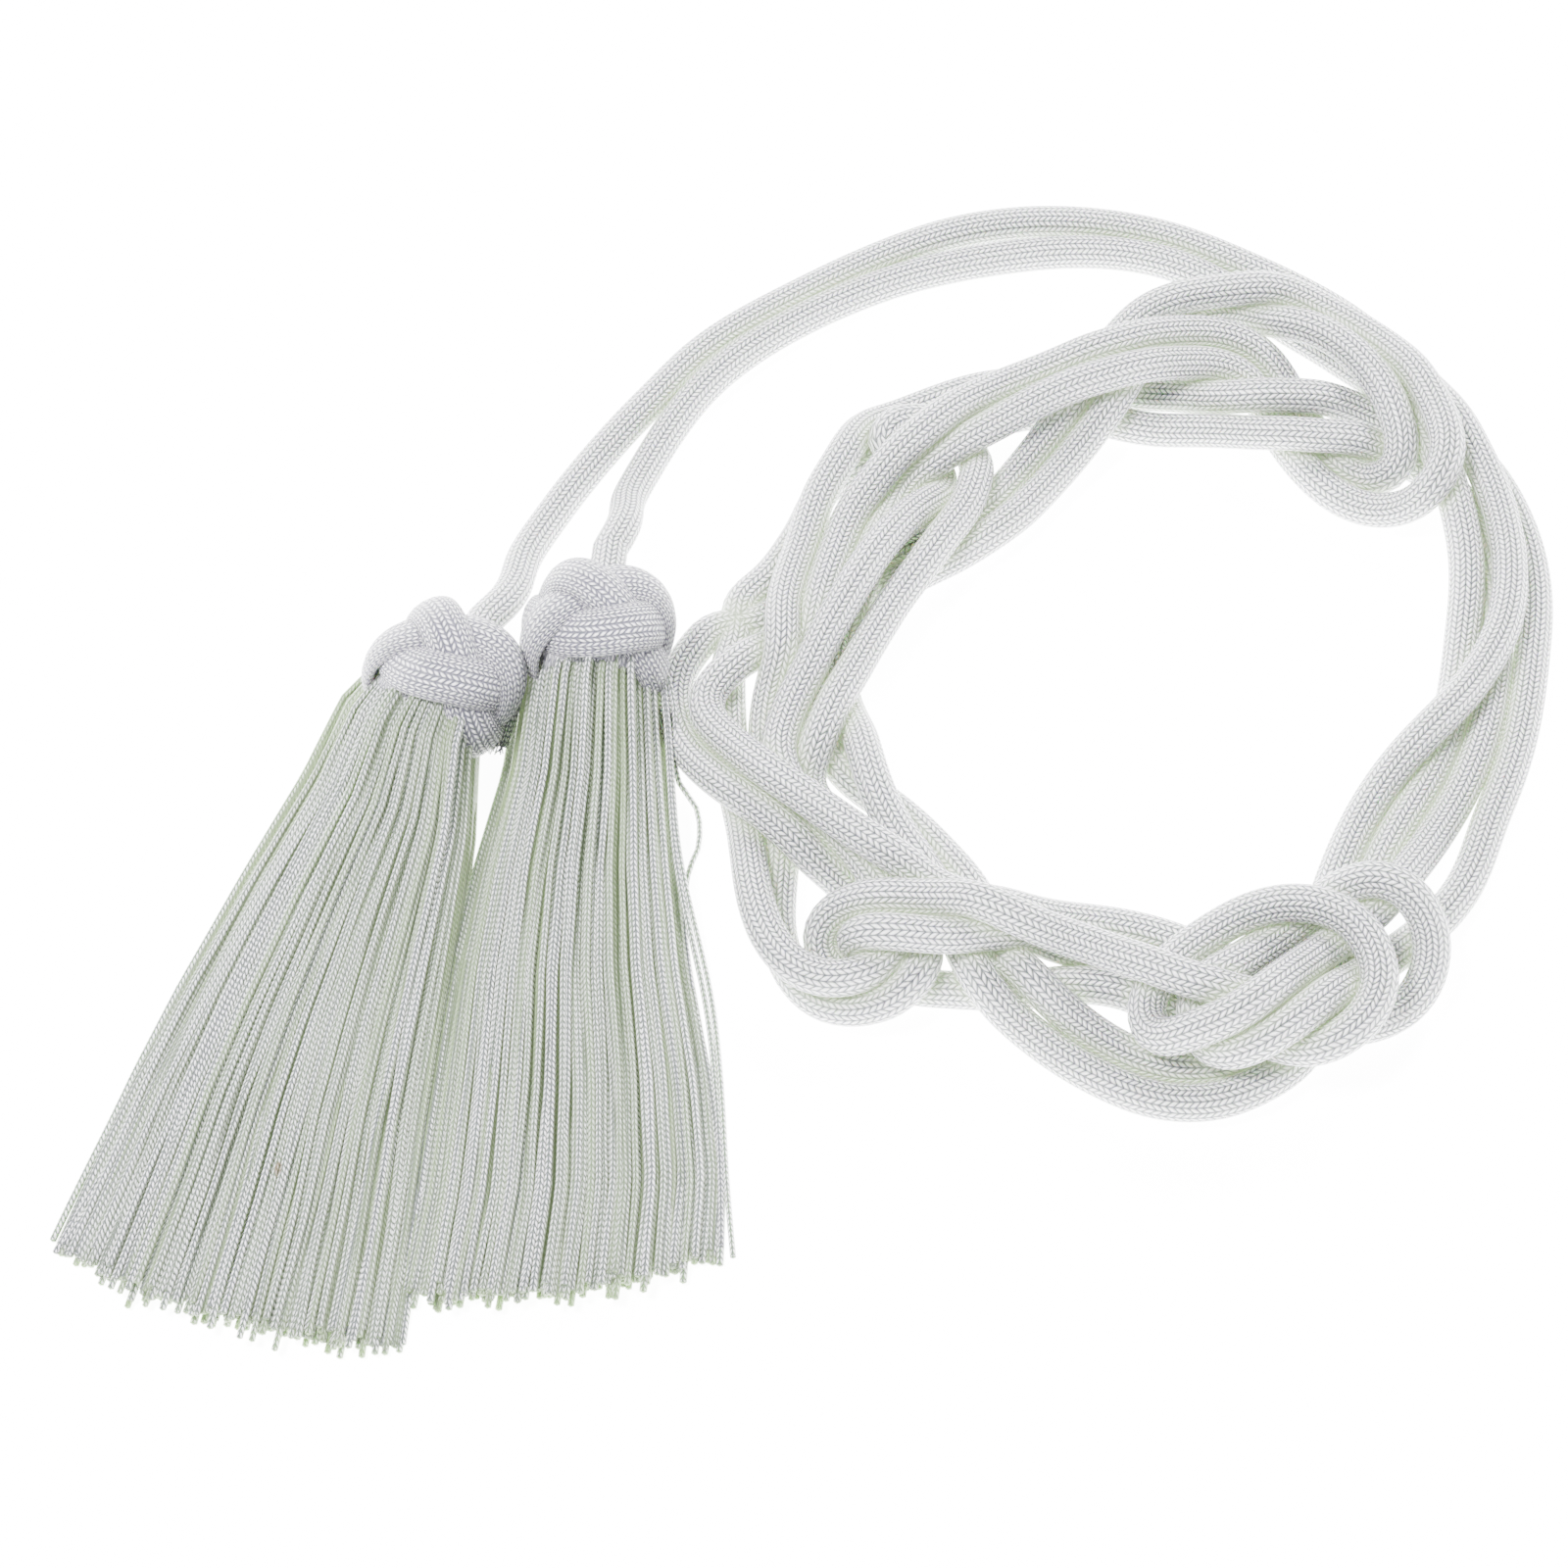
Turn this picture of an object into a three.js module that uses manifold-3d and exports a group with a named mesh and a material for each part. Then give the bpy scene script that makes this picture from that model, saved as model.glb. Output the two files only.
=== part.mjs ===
// Cincture cord: one long braided cord, doubled and worked into a loosely knotted ring,
// with a woven knot and a skirt of twisted strands on each of its two ends.
// Millimetres, +Z up. The cord lies on the table at z = 0.
import * as THREE from "three";
import { mergeVertices } from "three/addons/utils/BufferGeometryUtils.js";
import { ParametricGeometry } from "three/addons/geometries/ParametricGeometry.js";
import Module from "manifold-3d";

// Driving sizes
const CORD_DIAMETER = 8;
const CORD_SIDES = 8;
const CORD_STEP = 12;
const KNOT_RADIUS = 13.6;
const KNOT_HEIGHT = 25;
const BAND_WIDTH = 10.5;
const BAND_THICKNESS = 3.4;
const BAND_LIFT = 0.9;
const BAND_SWING = 0.72;
const BAND_TURNS = 2;
const BAND_STEPS = 50;
const BAND_SIDES = 6;
const BAND_LEAN = 0.6;
const TURN_STEP = 0.01;
const BARREL_ROUND = 0.62;
const BIGHTS = 5;
const SOCKET_RADIUS = 5.4;
const SOCKET_REACH = 19.5;
const SOCKET_SIDES = 12;
const BALL_SIDES = 12;
const BALL_RINGS = 8;
const ROOM_SIDES = 24;
const LOCKS = 12;
const LOCK_SIDES = 5;
const SKIRT_ROUND = 0.8;
const LOCK_OVERLAP = 1.7;
const LOCK_SEAT = 0.7;
const LOCK_TAPER = 0.45;
const TAPER_FROM = 0.8;
const CROWN_RADIUS = 10.5;
const CROWN_DEPTH = 2;
const CLEARANCE = 0.3;
const LEAD_OUT = 12;
const ROOM_CORNER = 0.8;
const TABLE_TRIM = 60;
const MERGE_WITHIN = 1e-4;

// The view that the cord was laid out from: a drawing 1600 units wide, seen at 60 degrees
const VIEW_UNIT = 0.2133;
const VIEW_MIDDLE = 800;
const VIEW_TILT = THREE.MathUtils.degToRad(60);
const EYE_DISTANCE = 650;

// How the cord settles: spacing of its nodes, rounds, and how far along it touches itself
const NODE_SPACING = 3.2;
const ROUNDS = 160;
const COOLING_FROM = 0.7;
const COOLED = 0.3;
const DROP = 0.1;
const PUSHES = 2;
const STIFFNESS = 0.35;
const HOLD = 0.1;
const NEIGHBOURS = 6;
const PINNED = 3;
const PAIR_REACH = 2;
const PAIR_ROUNDS = 10;
const SPLINE_PARTS = 12;

// The cord's route from the left knot to the right one, chosen by hand along the cord.
// Each row: across and down on the drawing, and the layer that it starts in.
const ROUTE = [
  // lead from the left tassel
  [505, 628, 1.0], [522, 570, 0.6], [560, 508, 0.1], [605, 455, 0], [660, 400, 0], [735, 335, 0],
  [820, 290, 0], [880, 263, 0], [950, 240, 0], [1015, 229, 0], [1080, 226, 0], [1140, 231, 0],
  [1200, 245, 0], [1265, 270, 0],
  [1330, 300, 0.3], [1370, 322, 0.7], [1400, 345, 1], [1440, 378, 1], [1478, 420, 1], [1508, 465, 1],
  [1528, 510, 1], [1539, 560, 1], [1541, 600, 1], [1535, 640, 1.2], [1520, 670, 1.4], [1497, 705, 1.5],
  [1465, 740, 1.3], [1438, 770, 1], [1415, 800, 1], [1395, 830, 0.8], [1380, 860, 0.4], [1370, 890, 0],
  // hidden under the knot at the lower right, then out to the left along the bottom
  [1358, 925, 0], [1345, 965, 0], [1325, 1010, 0], [1295, 1055, 0], [1258, 1085, 0], [1220, 1096, 0],
  [1190, 1093, 0], [1160, 1082, 0], [1130, 1066, 0], [1100, 1045, 0], [1075, 1024, 0], [1050, 1000, 0],
  [1025, 972, 0],
  [997, 930, 0], [968, 888, 0], [935, 845, 0], [895, 815, 0], [858, 785, 0], [838, 750, 0],
  [826, 712, 0], [820, 672, 0.2], [826, 638, 0.6], [838, 600, 1], [855, 560, 1.3], [878, 512, 1.6],
  [905, 475, 2], [940, 446, 2], [980, 420, 2], [1030, 393, 2], [1080, 372, 2.2], [1130, 354, 2.4],
  [1170, 344, 2.4], [1215, 338, 2], [1255, 342, 1.6], [1285, 356, 1], [1303, 382, 0.6],
  [1316, 420, 0], [1342, 462, 0], [1378, 488, 0.6], [1408, 493, 1.2], [1430, 480, 1.7], [1436, 455, 2],
  [1430, 425, 2], [1415, 395, 2], [1388, 362, 2], [1350, 335, 2], [1300, 317, 1.6], [1250, 313, 1.2],
  [1205, 322, 1], [1175, 350, 1], [1152, 388, 1], [1130, 420, 1], [1110, 445, 1], [1085, 475, 0.9],
  [1060, 500, 0.6], [1028, 528, 0.2], [980, 558, 0],
  [930, 580, 0], [880, 602, 0], [830, 630, 0], [785, 655, 0], [750, 678, 0.2], [728, 697, 0.6],
  [716, 716, 1], [722, 738, 1.5], [745, 757, 1.9], [780, 782, 2], [820, 811, 2], [860, 840, 1.8],
  [900, 872, 1.2], [950, 908, 0.5],
  // there and back along the bottom, under the long upper strand
  [1010, 928, 0.2], [1090, 940, 0.2], [1150, 951, 0.1], [1200, 963, 0], [1250, 980, 0], [1290, 996, 0],
  [1316, 1018, 0], [1306, 1042, 0], [1270, 1046, 0], [1230, 1034, 0], [1190, 1014, 0], [1150, 1001, 0],
  [1100, 998, 0], [1050, 1001, 0], [1000, 1003, 0], [960, 1003, 0], [920, 1003, 0], [878, 994, 0],
  [845, 978, 0.3], [829, 956, 0.9], [840, 934, 1.5], [870, 921, 1.9],
  [920, 918, 2], [970, 922, 2], [1020, 935, 2], [1070, 950, 1.7], [1120, 966, 1.2], [1160, 981, 1],
  [1205, 998, 1], [1250, 1016, 0.9], [1290, 1032, 0.8], [1335, 1046, 0.7], [1385, 1050, 0.7],
  [1430, 1036, 0.8], [1456, 1008, 1], [1465, 975, 1.3], [1462, 938, 1.8], [1440, 908, 2],
  [1405, 893, 2], [1370, 903, 1.8], [1340, 925, 1], [1310, 950, 0.6], [1275, 975, 0.5],
  // a small bight of the lower right knot, then up the outer right side
  [1247, 1000, 0.7], [1228, 1030, 0.9], [1222, 1058, 1.3], [1240, 1078, 1.8], [1278, 1066, 2],
  [1328, 1038, 2], [1378, 1005, 1.6], [1425, 972, 1], [1468, 940, 0.8], [1498, 900, 0.5],
  [1514, 855, 0], [1526, 815, 0], [1538, 775, 0], [1547, 735, 0], [1556, 700, 0], [1564, 660, 0],
  [1567, 615, 0], [1560, 565, 0],
  [1540, 515, 0], [1510, 470, 0], [1465, 440, 0], [1410, 422, 0], [1375, 412, 0.4], [1330, 405, 1],
  [1280, 404, 1], [1230, 403, 0.8], [1190, 402, 0.4], [1150, 400, 0], [1090, 394, 0], [1030, 391, 0],
  [985, 399, 0], [940, 418, 0.1], [892, 446, 0.6], [860, 470, 0.9], [838, 497, 1], [826, 530, 1],
  [819, 570, 1], [812, 610, 0.9], [801, 650, 0.6], [789, 695, 0.2], [780, 740, 0], [778, 785, 0],
  [788, 830, 0], [795, 875, 0], [790, 915, 0], [790, 955, 0], [806, 992, 0.3], [845, 1023, 0.5],
  [888, 1016, 0.8], [922, 995, 1], [942, 965, 1], [940, 935, 1], [915, 900, 0.9], [875, 862, 0.8],
  [830, 824, 0.7], [812, 795, 0.8],
  // up the left side and round the small bight at the upper left
  [830, 768, 1], [842, 740, 1.2], [853, 715, 1.4], [868, 690, 1.6], [883, 660, 1.8], [905, 622, 2],
  [938, 580, 2], [968, 541, 1.9], [991, 508, 1.6], [1001, 480, 1.3], [990, 452, 1], [962, 432, 1],
  [925, 424, 1],
  [893, 436, 1], [886, 458, 1], [908, 467, 1], [938, 460, 1], [960, 470, 1.2], [958, 494, 1.6],
  [935, 515, 1.9], [908, 541, 2], [884, 575, 2], [857, 620, 2], [838, 650, 1.9], [823, 680, 1.7],
  [809, 710, 1.4], [799, 740, 1.1], [790, 770, 0.9], [800, 800, 0.8],
  [840, 840, 0.8], [890, 885, 0.9], [920, 925, 1], [922, 960, 1.2], [905, 992, 1.5], [875, 1006, 1.6],
  [838, 1004, 1.5], [802, 984, 1.3], [780, 950, 1.2], [770, 905, 1.1], [768, 860, 1], [762, 815, 0.6],
  [748, 765, 0],
  [742, 722, 0], [749, 680, 0], [762, 640, 0], [777, 608, 0], [800, 572, 0], [822, 540, 0],
  [834, 505, 0], [856, 478, 0], [895, 458, 0], [945, 446, 0], [1000, 434, 0], [1060, 418, 0],
  [1120, 428, 0], [1170, 440, 0.2], [1215, 438, 0.7], [1250, 439, 1], [1300, 443, 1], [1350, 447, 0.9],
  [1400, 456, 0.4],
  [1450, 475, 0], [1488, 510, 0], [1510, 560, 0], [1522, 610, 0], [1522, 660, 0], [1522, 710, 0],
  [1512, 752, 0], [1496, 790, 0], [1476, 825, 0], [1454, 857, 0.2], [1430, 892, 0.6], [1395, 935, 1.2],
  [1350, 970, 1.8], [1300, 1005, 2], [1250, 1036, 2], [1203, 1061, 2], [1178, 1064, 1.8],
  [1166, 1040, 1.2], [1172, 1008, 0.6], [1193, 980, 0.4],
  // the large bight of the lower right knot, then back along the bottom
  [1225, 957, 0.8], [1262, 934, 1.4], [1300, 921, 1.8], [1340, 919, 2.2], [1380, 935, 2.8],
  [1405, 965, 3], [1412, 1000, 2.6], [1400, 1034, 2], [1372, 1058, 1.4], [1335, 1068, 0.9],
  [1300, 1062, 0.5], [1262, 1044, 0.2], [1215, 1018, 0], [1160, 990, 0], [1110, 972, 0.3],
  [1060, 962, 0.8], [1000, 955, 1.6], [950, 952, 2], [900, 953, 2], [873, 958, 1.7], [862, 968, 1.2],
  [874, 984, 0.8], [900, 975, 0.6], [905, 945, 0.5], [885, 915, 0.8],
  // the bight at the far left, then up across the ring to its top
  [866, 893, 1.2], [835, 867, 1.8], [800, 843, 2], [762, 818, 2], [728, 793, 2], [702, 766, 1.7],
  [689, 738, 1.2], [686, 708, 0.8], [693, 680, 0.4], [710, 662, 0.1], [738, 650, 0], [780, 638, 0],
  [840, 612, 0], [900, 585, 0], [960, 550, 0], [1010, 518, 0.2], [1040, 485, 0.6], [1062, 455, 0.9],
  [1082, 428, 1], [1102, 398, 1], [1130, 358, 1], [1165, 322, 1], [1210, 303, 1.3],
  [1262, 297, 1.7], [1320, 306, 2], [1378, 330, 2], [1428, 365, 2], [1457, 398, 2], [1478, 440, 1.9],
  [1481, 478, 1.6], [1462, 508, 1.1], [1420, 524, 0.5], [1378, 516, 0.1], [1345, 485, 0],
  [1312, 442, 0], [1292, 405, 0], [1268, 378, 0.6], [1228, 368, 1.2], [1180, 370, 1.7], [1120, 384, 2],
  [1060, 405, 1.7], [1005, 432, 1.4], [960, 462, 1.2], [925, 500, 1], [898, 548, 0.6], [872, 598, 0.2],
  [855, 645, 0], [850, 690, 0],
  [862, 735, 0.2], [880, 775, 0.6], [905, 830, 1], [940, 890, 0.6], [965, 935, 0.3], [985, 975, 0.2],
  [1005, 1012, 0], [1040, 1046, 0], [1070, 1068, 0], [1105, 1091, 0], [1150, 1114, 0], [1195, 1126, 0],
  [1240, 1121, 0], [1275, 1103, 0], [1308, 1075, 0], [1342, 1035, 0], [1368, 985, 0], [1388, 930, 0],
  [1405, 885, 0.2], [1425, 848, 0.4], [1447, 810, 0.2], [1475, 772, 0.2],
  [1488, 720, 0], [1496, 670, 0], [1501, 620, 0], [1500, 570, 0], [1490, 525, 0.2], [1474, 480, 0.6],
  [1452, 430, 1], [1412, 398, 1], [1352, 356, 0.8], [1305, 330, 0.2], [1255, 296, 0], [1205, 270, 0],
  [1150, 258, 0], [1090, 256, 0], [1030, 262, 0], [975, 271, 0], [920, 284, 0], [860, 306, 0],
  [800, 332, 0], [748, 358, 0], [712, 385, 0], [682, 430, 0], [662, 475, 0.3], [648, 520, 0.8],
  [640, 565, 1.2],
];

// Knots: where the middle of each is seen, and where its skirt points to
const KNOTS = [
  { side: "left", across: 458, down: 690, towards: [352, 900] },
  { side: "right", across: 613, down: 622, towards: [604, 850] },
];

// Skirts, a row for each station from the knot to the tips:
// left edge, right edge, and thickness as a share of the thickness at the top
const SKIRT_THICKNESS = 24;
const SKIRTS = {
  left: [
    { left: [412, 700], right: [500, 728], thick: 1 },
    { left: [380, 725], right: [492, 780], thick: 0.92 },
    { left: [327, 795], right: [482, 860], thick: 0.7 },
    { left: [268, 900], right: [462, 955], thick: 0.52 },
    { left: [205, 1010], right: [448, 1060], thick: 0.4 },
    { left: [150, 1100], right: [434, 1160], thick: 0.32 },
    { left: [100, 1190], right: [420, 1275], thick: 0.27 },
    { left: [62, 1285], right: [398, 1382], thick: 0.2 },
  ],
  right: [
    { left: [556, 640], right: [660, 640], thick: 1 },
    { left: [541, 690], right: [658, 690], thick: 0.95 },
    { left: [522, 790], right: [672, 785], thick: 0.78 },
    { left: [496, 890], right: [698, 880], thick: 0.62 },
    { left: [478, 990], right: [714, 985], thick: 0.5 },
    { left: [462, 1110], right: [732, 1100], thick: 0.4 },
    { left: [441, 1220], right: [744, 1205], thick: 0.33 },
    { left: [420, 1310], right: [737, 1290], thick: 0.25 },
  ],
};

const wasm = await Module();
wasm.setup();

// The eye, and the point at a given height that is seen at a place on the drawing
const forward = new THREE.Vector3(0, Math.cos(VIEW_TILT), -Math.sin(VIEW_TILT));
const across = new THREE.Vector3(1, 0, 0);
const upward = new THREE.Vector3(0, Math.sin(VIEW_TILT), Math.cos(VIEW_TILT));
const eye = forward.clone().multiplyScalar(-EYE_DISTANCE);

function seenAt(x, y, height) {
  const sight = forward.clone().multiplyScalar(EYE_DISTANCE)
    .addScaledVector(across, (x - VIEW_MIDDLE) * VIEW_UNIT)
    .addScaledVector(upward, (VIEW_MIDDLE - y) * VIEW_UNIT);
  return eye.clone().addScaledVector(sight, (height - eye.z) / sight.z);
}

// A curve through the points, cut into even pieces
function evenPoints(points, spacing) {
  const dense = [];
  for (let i = 0; i < points.length - 1; i += 1) {
    const a = points[Math.max(i - 1, 0)];
    const b = points[i];
    const c = points[i + 1];
    const d = points[Math.min(i + 2, points.length - 1)];
    for (let k = 0; k < SPLINE_PARTS; k += 1) {
      const t = k / SPLINE_PARTS;
      const at = (axis) => 0.5 * (2 * b[axis] + (c[axis] - a[axis]) * t
        + (2 * a[axis] - 5 * b[axis] + 4 * c[axis] - d[axis]) * t * t
        + (3 * b[axis] - a[axis] - 3 * c[axis] + d[axis]) * t * t * t);
      dense.push(new THREE.Vector3(at("x"), at("y"), at("z")));
    }
  }
  dense.push(points[points.length - 1].clone());
  const length = [0];
  for (let i = 1; i < dense.length; i += 1) {
    length.push(length[i - 1] + dense[i].distanceTo(dense[i - 1]));
  }
  const total = length[length.length - 1];
  const count = Math.round(total / spacing);
  const even = [];
  let k = 0;
  for (let i = 0; i <= count; i += 1) {
    const s = total * i / count;
    while (k < dense.length - 2 && length[k + 1] < s) k += 1;
    const share = (s - length[k]) / (length[k + 1] - length[k]);
    even.push(dense[k].clone().lerp(dense[k + 1], share));
  }
  return even;
}

// Pairs of nodes that are near in space but not along the cord
function closePairs(nodes) {
  const pairs = [];
  const reach = PAIR_REACH * CORD_DIAMETER;
  for (let i = 0; i < nodes.length; i += 1) {
    for (let j = i + NEIGHBOURS + 1; j < nodes.length; j += 1) {
      if (nodes[i].distanceTo(nodes[j]) < reach) pairs.push([i, j]);
    }
  }
  return pairs;
}

function pushApart(nodes, pairs) {
  const moves = nodes.map(() => new THREE.Vector3());
  const touches = nodes.map(() => 0);
  for (const [i, j] of pairs) {
    const gap = nodes[i].clone().sub(nodes[j]);
    const distance = gap.length();
    if (distance < CORD_DIAMETER) {
      gap.multiplyScalar((CORD_DIAMETER - distance) * 0.5 / distance);
      moves[i].add(gap);
      moves[j].sub(gap);
      touches[i] += 1;
      touches[j] += 1;
    }
  }
  nodes.forEach((node, i) => node.addScaledVector(moves[i], 1 / Math.max(1, touches[i] * 0.5)));
}

// The strands sink, rest on each other and on the table, and stay where they are seen
function settle(nodes) {
  const home = nodes.map((node) => node.clone());
  const sight = home.map((node) => node.clone().sub(eye).normalize());
  let pairs = [];
  for (let round = 0; round < ROUNDS; round += 1) {
    if (round % PAIR_ROUNDS === 0) pairs = closePairs(nodes);
    const drop = DROP * (round < ROUNDS * COOLING_FROM ? 1 : COOLED);
    nodes.forEach((node) => { node.z -= drop; });
    for (let k = 0; k < PUSHES; k += 1) pushApart(nodes, pairs);
    const before = nodes.map((node) => node.clone());
    for (let i = 1; i < nodes.length - 1; i += 1) {
      const middle = before[i - 1].clone().add(before[i + 1]).multiplyScalar(0.5);
      nodes[i].lerp(middle, STIFFNESS);
    }
    nodes.forEach((node, i) => {
      const off = home[i].clone().sub(node);
      off.addScaledVector(sight[i], -off.dot(sight[i]));
      node.addScaledVector(off, HOLD);
      node.z = Math.max(node.z, CORD_DIAMETER / 2);
      if (i < PINNED || i >= nodes.length - PINNED) node.copy(home[i]);
    });
  }
  return nodes;
}

// Solids
function toSolid(geometry) {
  geometry.deleteAttribute("normal");
  geometry.deleteAttribute("uv");
  const merged = mergeVertices(geometry, MERGE_WITHIN);
  return new wasm.Manifold(new wasm.Mesh({
    numProp: 3,
    vertProperties: new Float32Array(merged.attributes.position.array),
    triVerts: new Uint32Array(merged.index.array),
  }));
}

function toGeometry(solid) {
  const mesh = solid.getMesh();
  const geometry = new THREE.BufferGeometry();
  geometry.setAttribute("position", new THREE.BufferAttribute(mesh.vertProperties, 3));
  geometry.setIndex(new THREE.BufferAttribute(mesh.triVerts, 1));
  return geometry;
}

function joinAll(solids) {
  return solids.reduce((whole, next) => whole.add(next));
}

// The frame of a knot: its middle, its axis along the table, and up
const knotRise = KNOT_RADIUS + BAND_THICKNESS;

function knotFrame({ across: x, down: y, towards }) {
  const middle = seenAt(x, y, knotRise);
  const tip = seenAt(towards[0], towards[1], knotRise);
  const axis = tip.clone().sub(middle).normalize();
  const up = new THREE.Vector3(0, 0, 1);
  const side = new THREE.Vector3().crossVectors(up, axis).normalize();
  return new THREE.Matrix4().makeBasis(side, up, axis).setPosition(middle);
}

// A woven knot: a barrel core, one flat band wound round it over and under itself,
// and a socket that takes the cord's end
function barrelRadius(height) {
  const share = height / (KNOT_HEIGHT / 2 + BAND_WIDTH / 2);
  return KNOT_RADIUS * Math.sqrt(Math.max(0, 1 - BARREL_ROUND * share * share));
}

function bandPoint(turn) {
  const height = KNOT_HEIGHT / 2 * BAND_SWING * Math.cos(BIGHTS * turn / BAND_TURNS);
  const radius = barrelRadius(height) + BAND_THICKNESS / 4 + BAND_LIFT * Math.sin(BIGHTS * turn);
  return new THREE.Vector3(radius * Math.cos(turn), radius * Math.sin(turn), height);
}

function bandSurface(u, v, target) {
  const turn = u * BAND_TURNS * 2 * Math.PI;
  const here = bandPoint(turn);
  const along = bandPoint(turn + TURN_STEP).sub(bandPoint(turn - TURN_STEP)).normalize();
  const out = new THREE.Vector3(here.x, here.y, here.z * BAND_LEAN).normalize();
  const side = new THREE.Vector3().crossVectors(out, along).normalize();
  const round = -v * 2 * Math.PI;
  target.copy(here)
    .addScaledVector(side, BAND_WIDTH / 2 * Math.cos(round))
    .addScaledVector(out, BAND_THICKNESS / 2 * Math.sin(round));
}

function knotSolid(frame, leadEnd) {
  const core = new THREE.SphereGeometry(1, BALL_SIDES, BALL_RINGS);
  core.scale(KNOT_RADIUS, KNOT_RADIUS, KNOT_HEIGHT / 2);
  const band = new ParametricGeometry(bandSurface, BAND_STEPS, BAND_SIDES);
  const local = leadEnd.clone().applyMatrix4(frame.clone().invert()).normalize();
  const socket = new THREE.CylinderGeometry(SOCKET_RADIUS, SOCKET_RADIUS, SOCKET_REACH, SOCKET_SIDES);
  socket.translate(0, SOCKET_REACH / 2, 0);
  socket.applyQuaternion(new THREE.Quaternion().setFromUnitVectors(new THREE.Vector3(0, 1, 0), local));
  return joinAll([core, band, socket].map((shape) => toSolid(shape.applyMatrix4(frame))));
}

// The space round a knot that its skirt keeps clear of
function knotRoom(frame) {
  const reach = KNOT_RADIUS + BAND_THICKNESS + BAND_LIFT + CLEARANCE;
  const half = KNOT_HEIGHT / 2 + BAND_THICKNESS + CLEARANCE;
  const corner = reach * ROOM_CORNER;
  const profile = [[0, -half], [corner, -half], [reach, -half / 2], [reach, half / 2], [corner, half], [0, half]];
  const room = new THREE.LatheGeometry(profile.map(([x, y]) => new THREE.Vector2(x, y)), ROOM_SIDES);
  room.rotateX(Math.PI / 2);
  return toSolid(room.applyMatrix4(frame));
}

// A skirt: tapered locks side by side, fused to a crown and flat where they lie
function lockSolid(rows, index) {
  const share = (index + 0.5) / LOCKS;
  const bulge = Math.sqrt(1 - SKIRT_ROUND * (2 * share - 1) ** 2);
  const centres = [];
  const widths = [];
  const heights = [];
  for (const row of rows) {
    const height = SKIRT_THICKNESS * row.thick * bulge / 2;
    const left = seenAt(row.left[0], row.left[1], height);
    const right = seenAt(row.right[0], row.right[1], height);
    const width = left.distanceTo(right) / LOCKS / 2 * LOCK_OVERLAP;
    centres.push(left.clone().lerp(right, share));
    widths.push(width);
    heights.push(height);
  }
  const last = rows.length - 1;
  const curve = new THREE.CatmullRomCurve3(centres);
  const lock = new THREE.CylinderGeometry(1, 1, 1, LOCK_SIDES, last);
  const position = lock.attributes.position;
  for (let i = 0; i < position.count; i += 1) {
    const t = THREE.MathUtils.clamp(position.getY(i) + 0.5, 0, 1);
    const k = Math.min(Math.floor(t * last), last - 1);
    const f = t * last - k;
    const middle = curve.getPoint(t);
    const tangent = curve.getTangent(t);
    const side = new THREE.Vector3(tangent.y, -tangent.x, 0).normalize();
    const taper = 1 - LOCK_TAPER * Math.max(0, t - TAPER_FROM) / (1 - TAPER_FROM);
    const width = THREE.MathUtils.lerp(widths[k], widths[k + 1], f) * taper;
    const height = THREE.MathUtils.lerp(heights[k], heights[k + 1], f);
    const place = middle.addScaledVector(side, position.getX(i) * width);
    position.setXYZ(i, place.x, place.y, place.z * LOCK_SEAT + position.getZ(i) * height);
  }
  return toSolid(lock);
}

function skirtSolid(rows, frame) {
  const crown = new THREE.SphereGeometry(CROWN_RADIUS, BALL_SIDES, BALL_RINGS);
  crown.translate(0, 0, KNOT_HEIGHT / 2 + CROWN_DEPTH);
  const parts = [toSolid(crown.applyMatrix4(frame))];
  for (let i = 0; i < LOCKS; i += 1) parts.push(lockSolid(rows, i));
  const below = new THREE.BoxGeometry(4 * EYE_DISTANCE, 4 * EYE_DISTANCE, TABLE_TRIM);
  below.translate(0, 0, -TABLE_TRIM / 2);
  return joinAll(parts).subtract(toSolid(below)).subtract(knotRoom(frame));
}

// The cord: its route settled, with each end brought up to its knot's socket
function cordGeometry(frames) {
  const points = ROUTE.map(([x, y, layer]) => seenAt(x, y, CORD_DIAMETER / 2 + layer * CORD_DIAMETER));
  const first = points.shift();
  const last = points.pop();
  points.unshift(socketMouth(frames.left, first, 0), socketMouth(frames.left, first, LEAD_OUT));
  points.push(socketMouth(frames.right, last, LEAD_OUT), socketMouth(frames.right, last, 0));
  const nodes = settle(evenPoints(points, NODE_SPACING));
  const path = new THREE.CatmullRomCurve3(nodes);
  path.arcLengthDivisions = nodes.length * 4;
  const ring = [];
  for (let i = 0; i < CORD_SIDES; i += 1) {
    const turn = (i + 0.5) * 2 * Math.PI / CORD_SIDES;
    ring.push(new THREE.Vector2(Math.cos(turn), Math.sin(turn)).multiplyScalar(CORD_DIAMETER / 2));
  }
  const steps = Math.round(path.getLength() / CORD_STEP);
  const tube = new THREE.ExtrudeGeometry(new THREE.Shape(ring), { steps, extrudePath: path });
  return toGeometry(toSolid(tube));
}

function socketMouth(frame, leadEnd, further) {
  const middle = new THREE.Vector3().setFromMatrixPosition(frame);
  const way = leadEnd.clone().sub(middle).normalize();
  return middle.addScaledVector(way, SOCKET_REACH + CLEARANCE + further);
}

const cotton = (colour, roughness) => new THREE.MeshStandardMaterial({ color: colour, roughness, metalness: 0 });
const cordCotton = cotton(0xf1f0f2, 0.85);
const bandCotton = cotton(0xecebf0, 0.8);
const strandCotton = cotton(0xeef1ec, 0.75);

const ends = { left: ROUTE[0], right: ROUTE[ROUTE.length - 1] };
const frames = {};
const cincture = new THREE.Group();

function addPiece(name, geometry, material) {
  const piece = new THREE.Mesh(geometry, material.clone());
  piece.name = name;
  cincture.add(piece);
}

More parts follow.
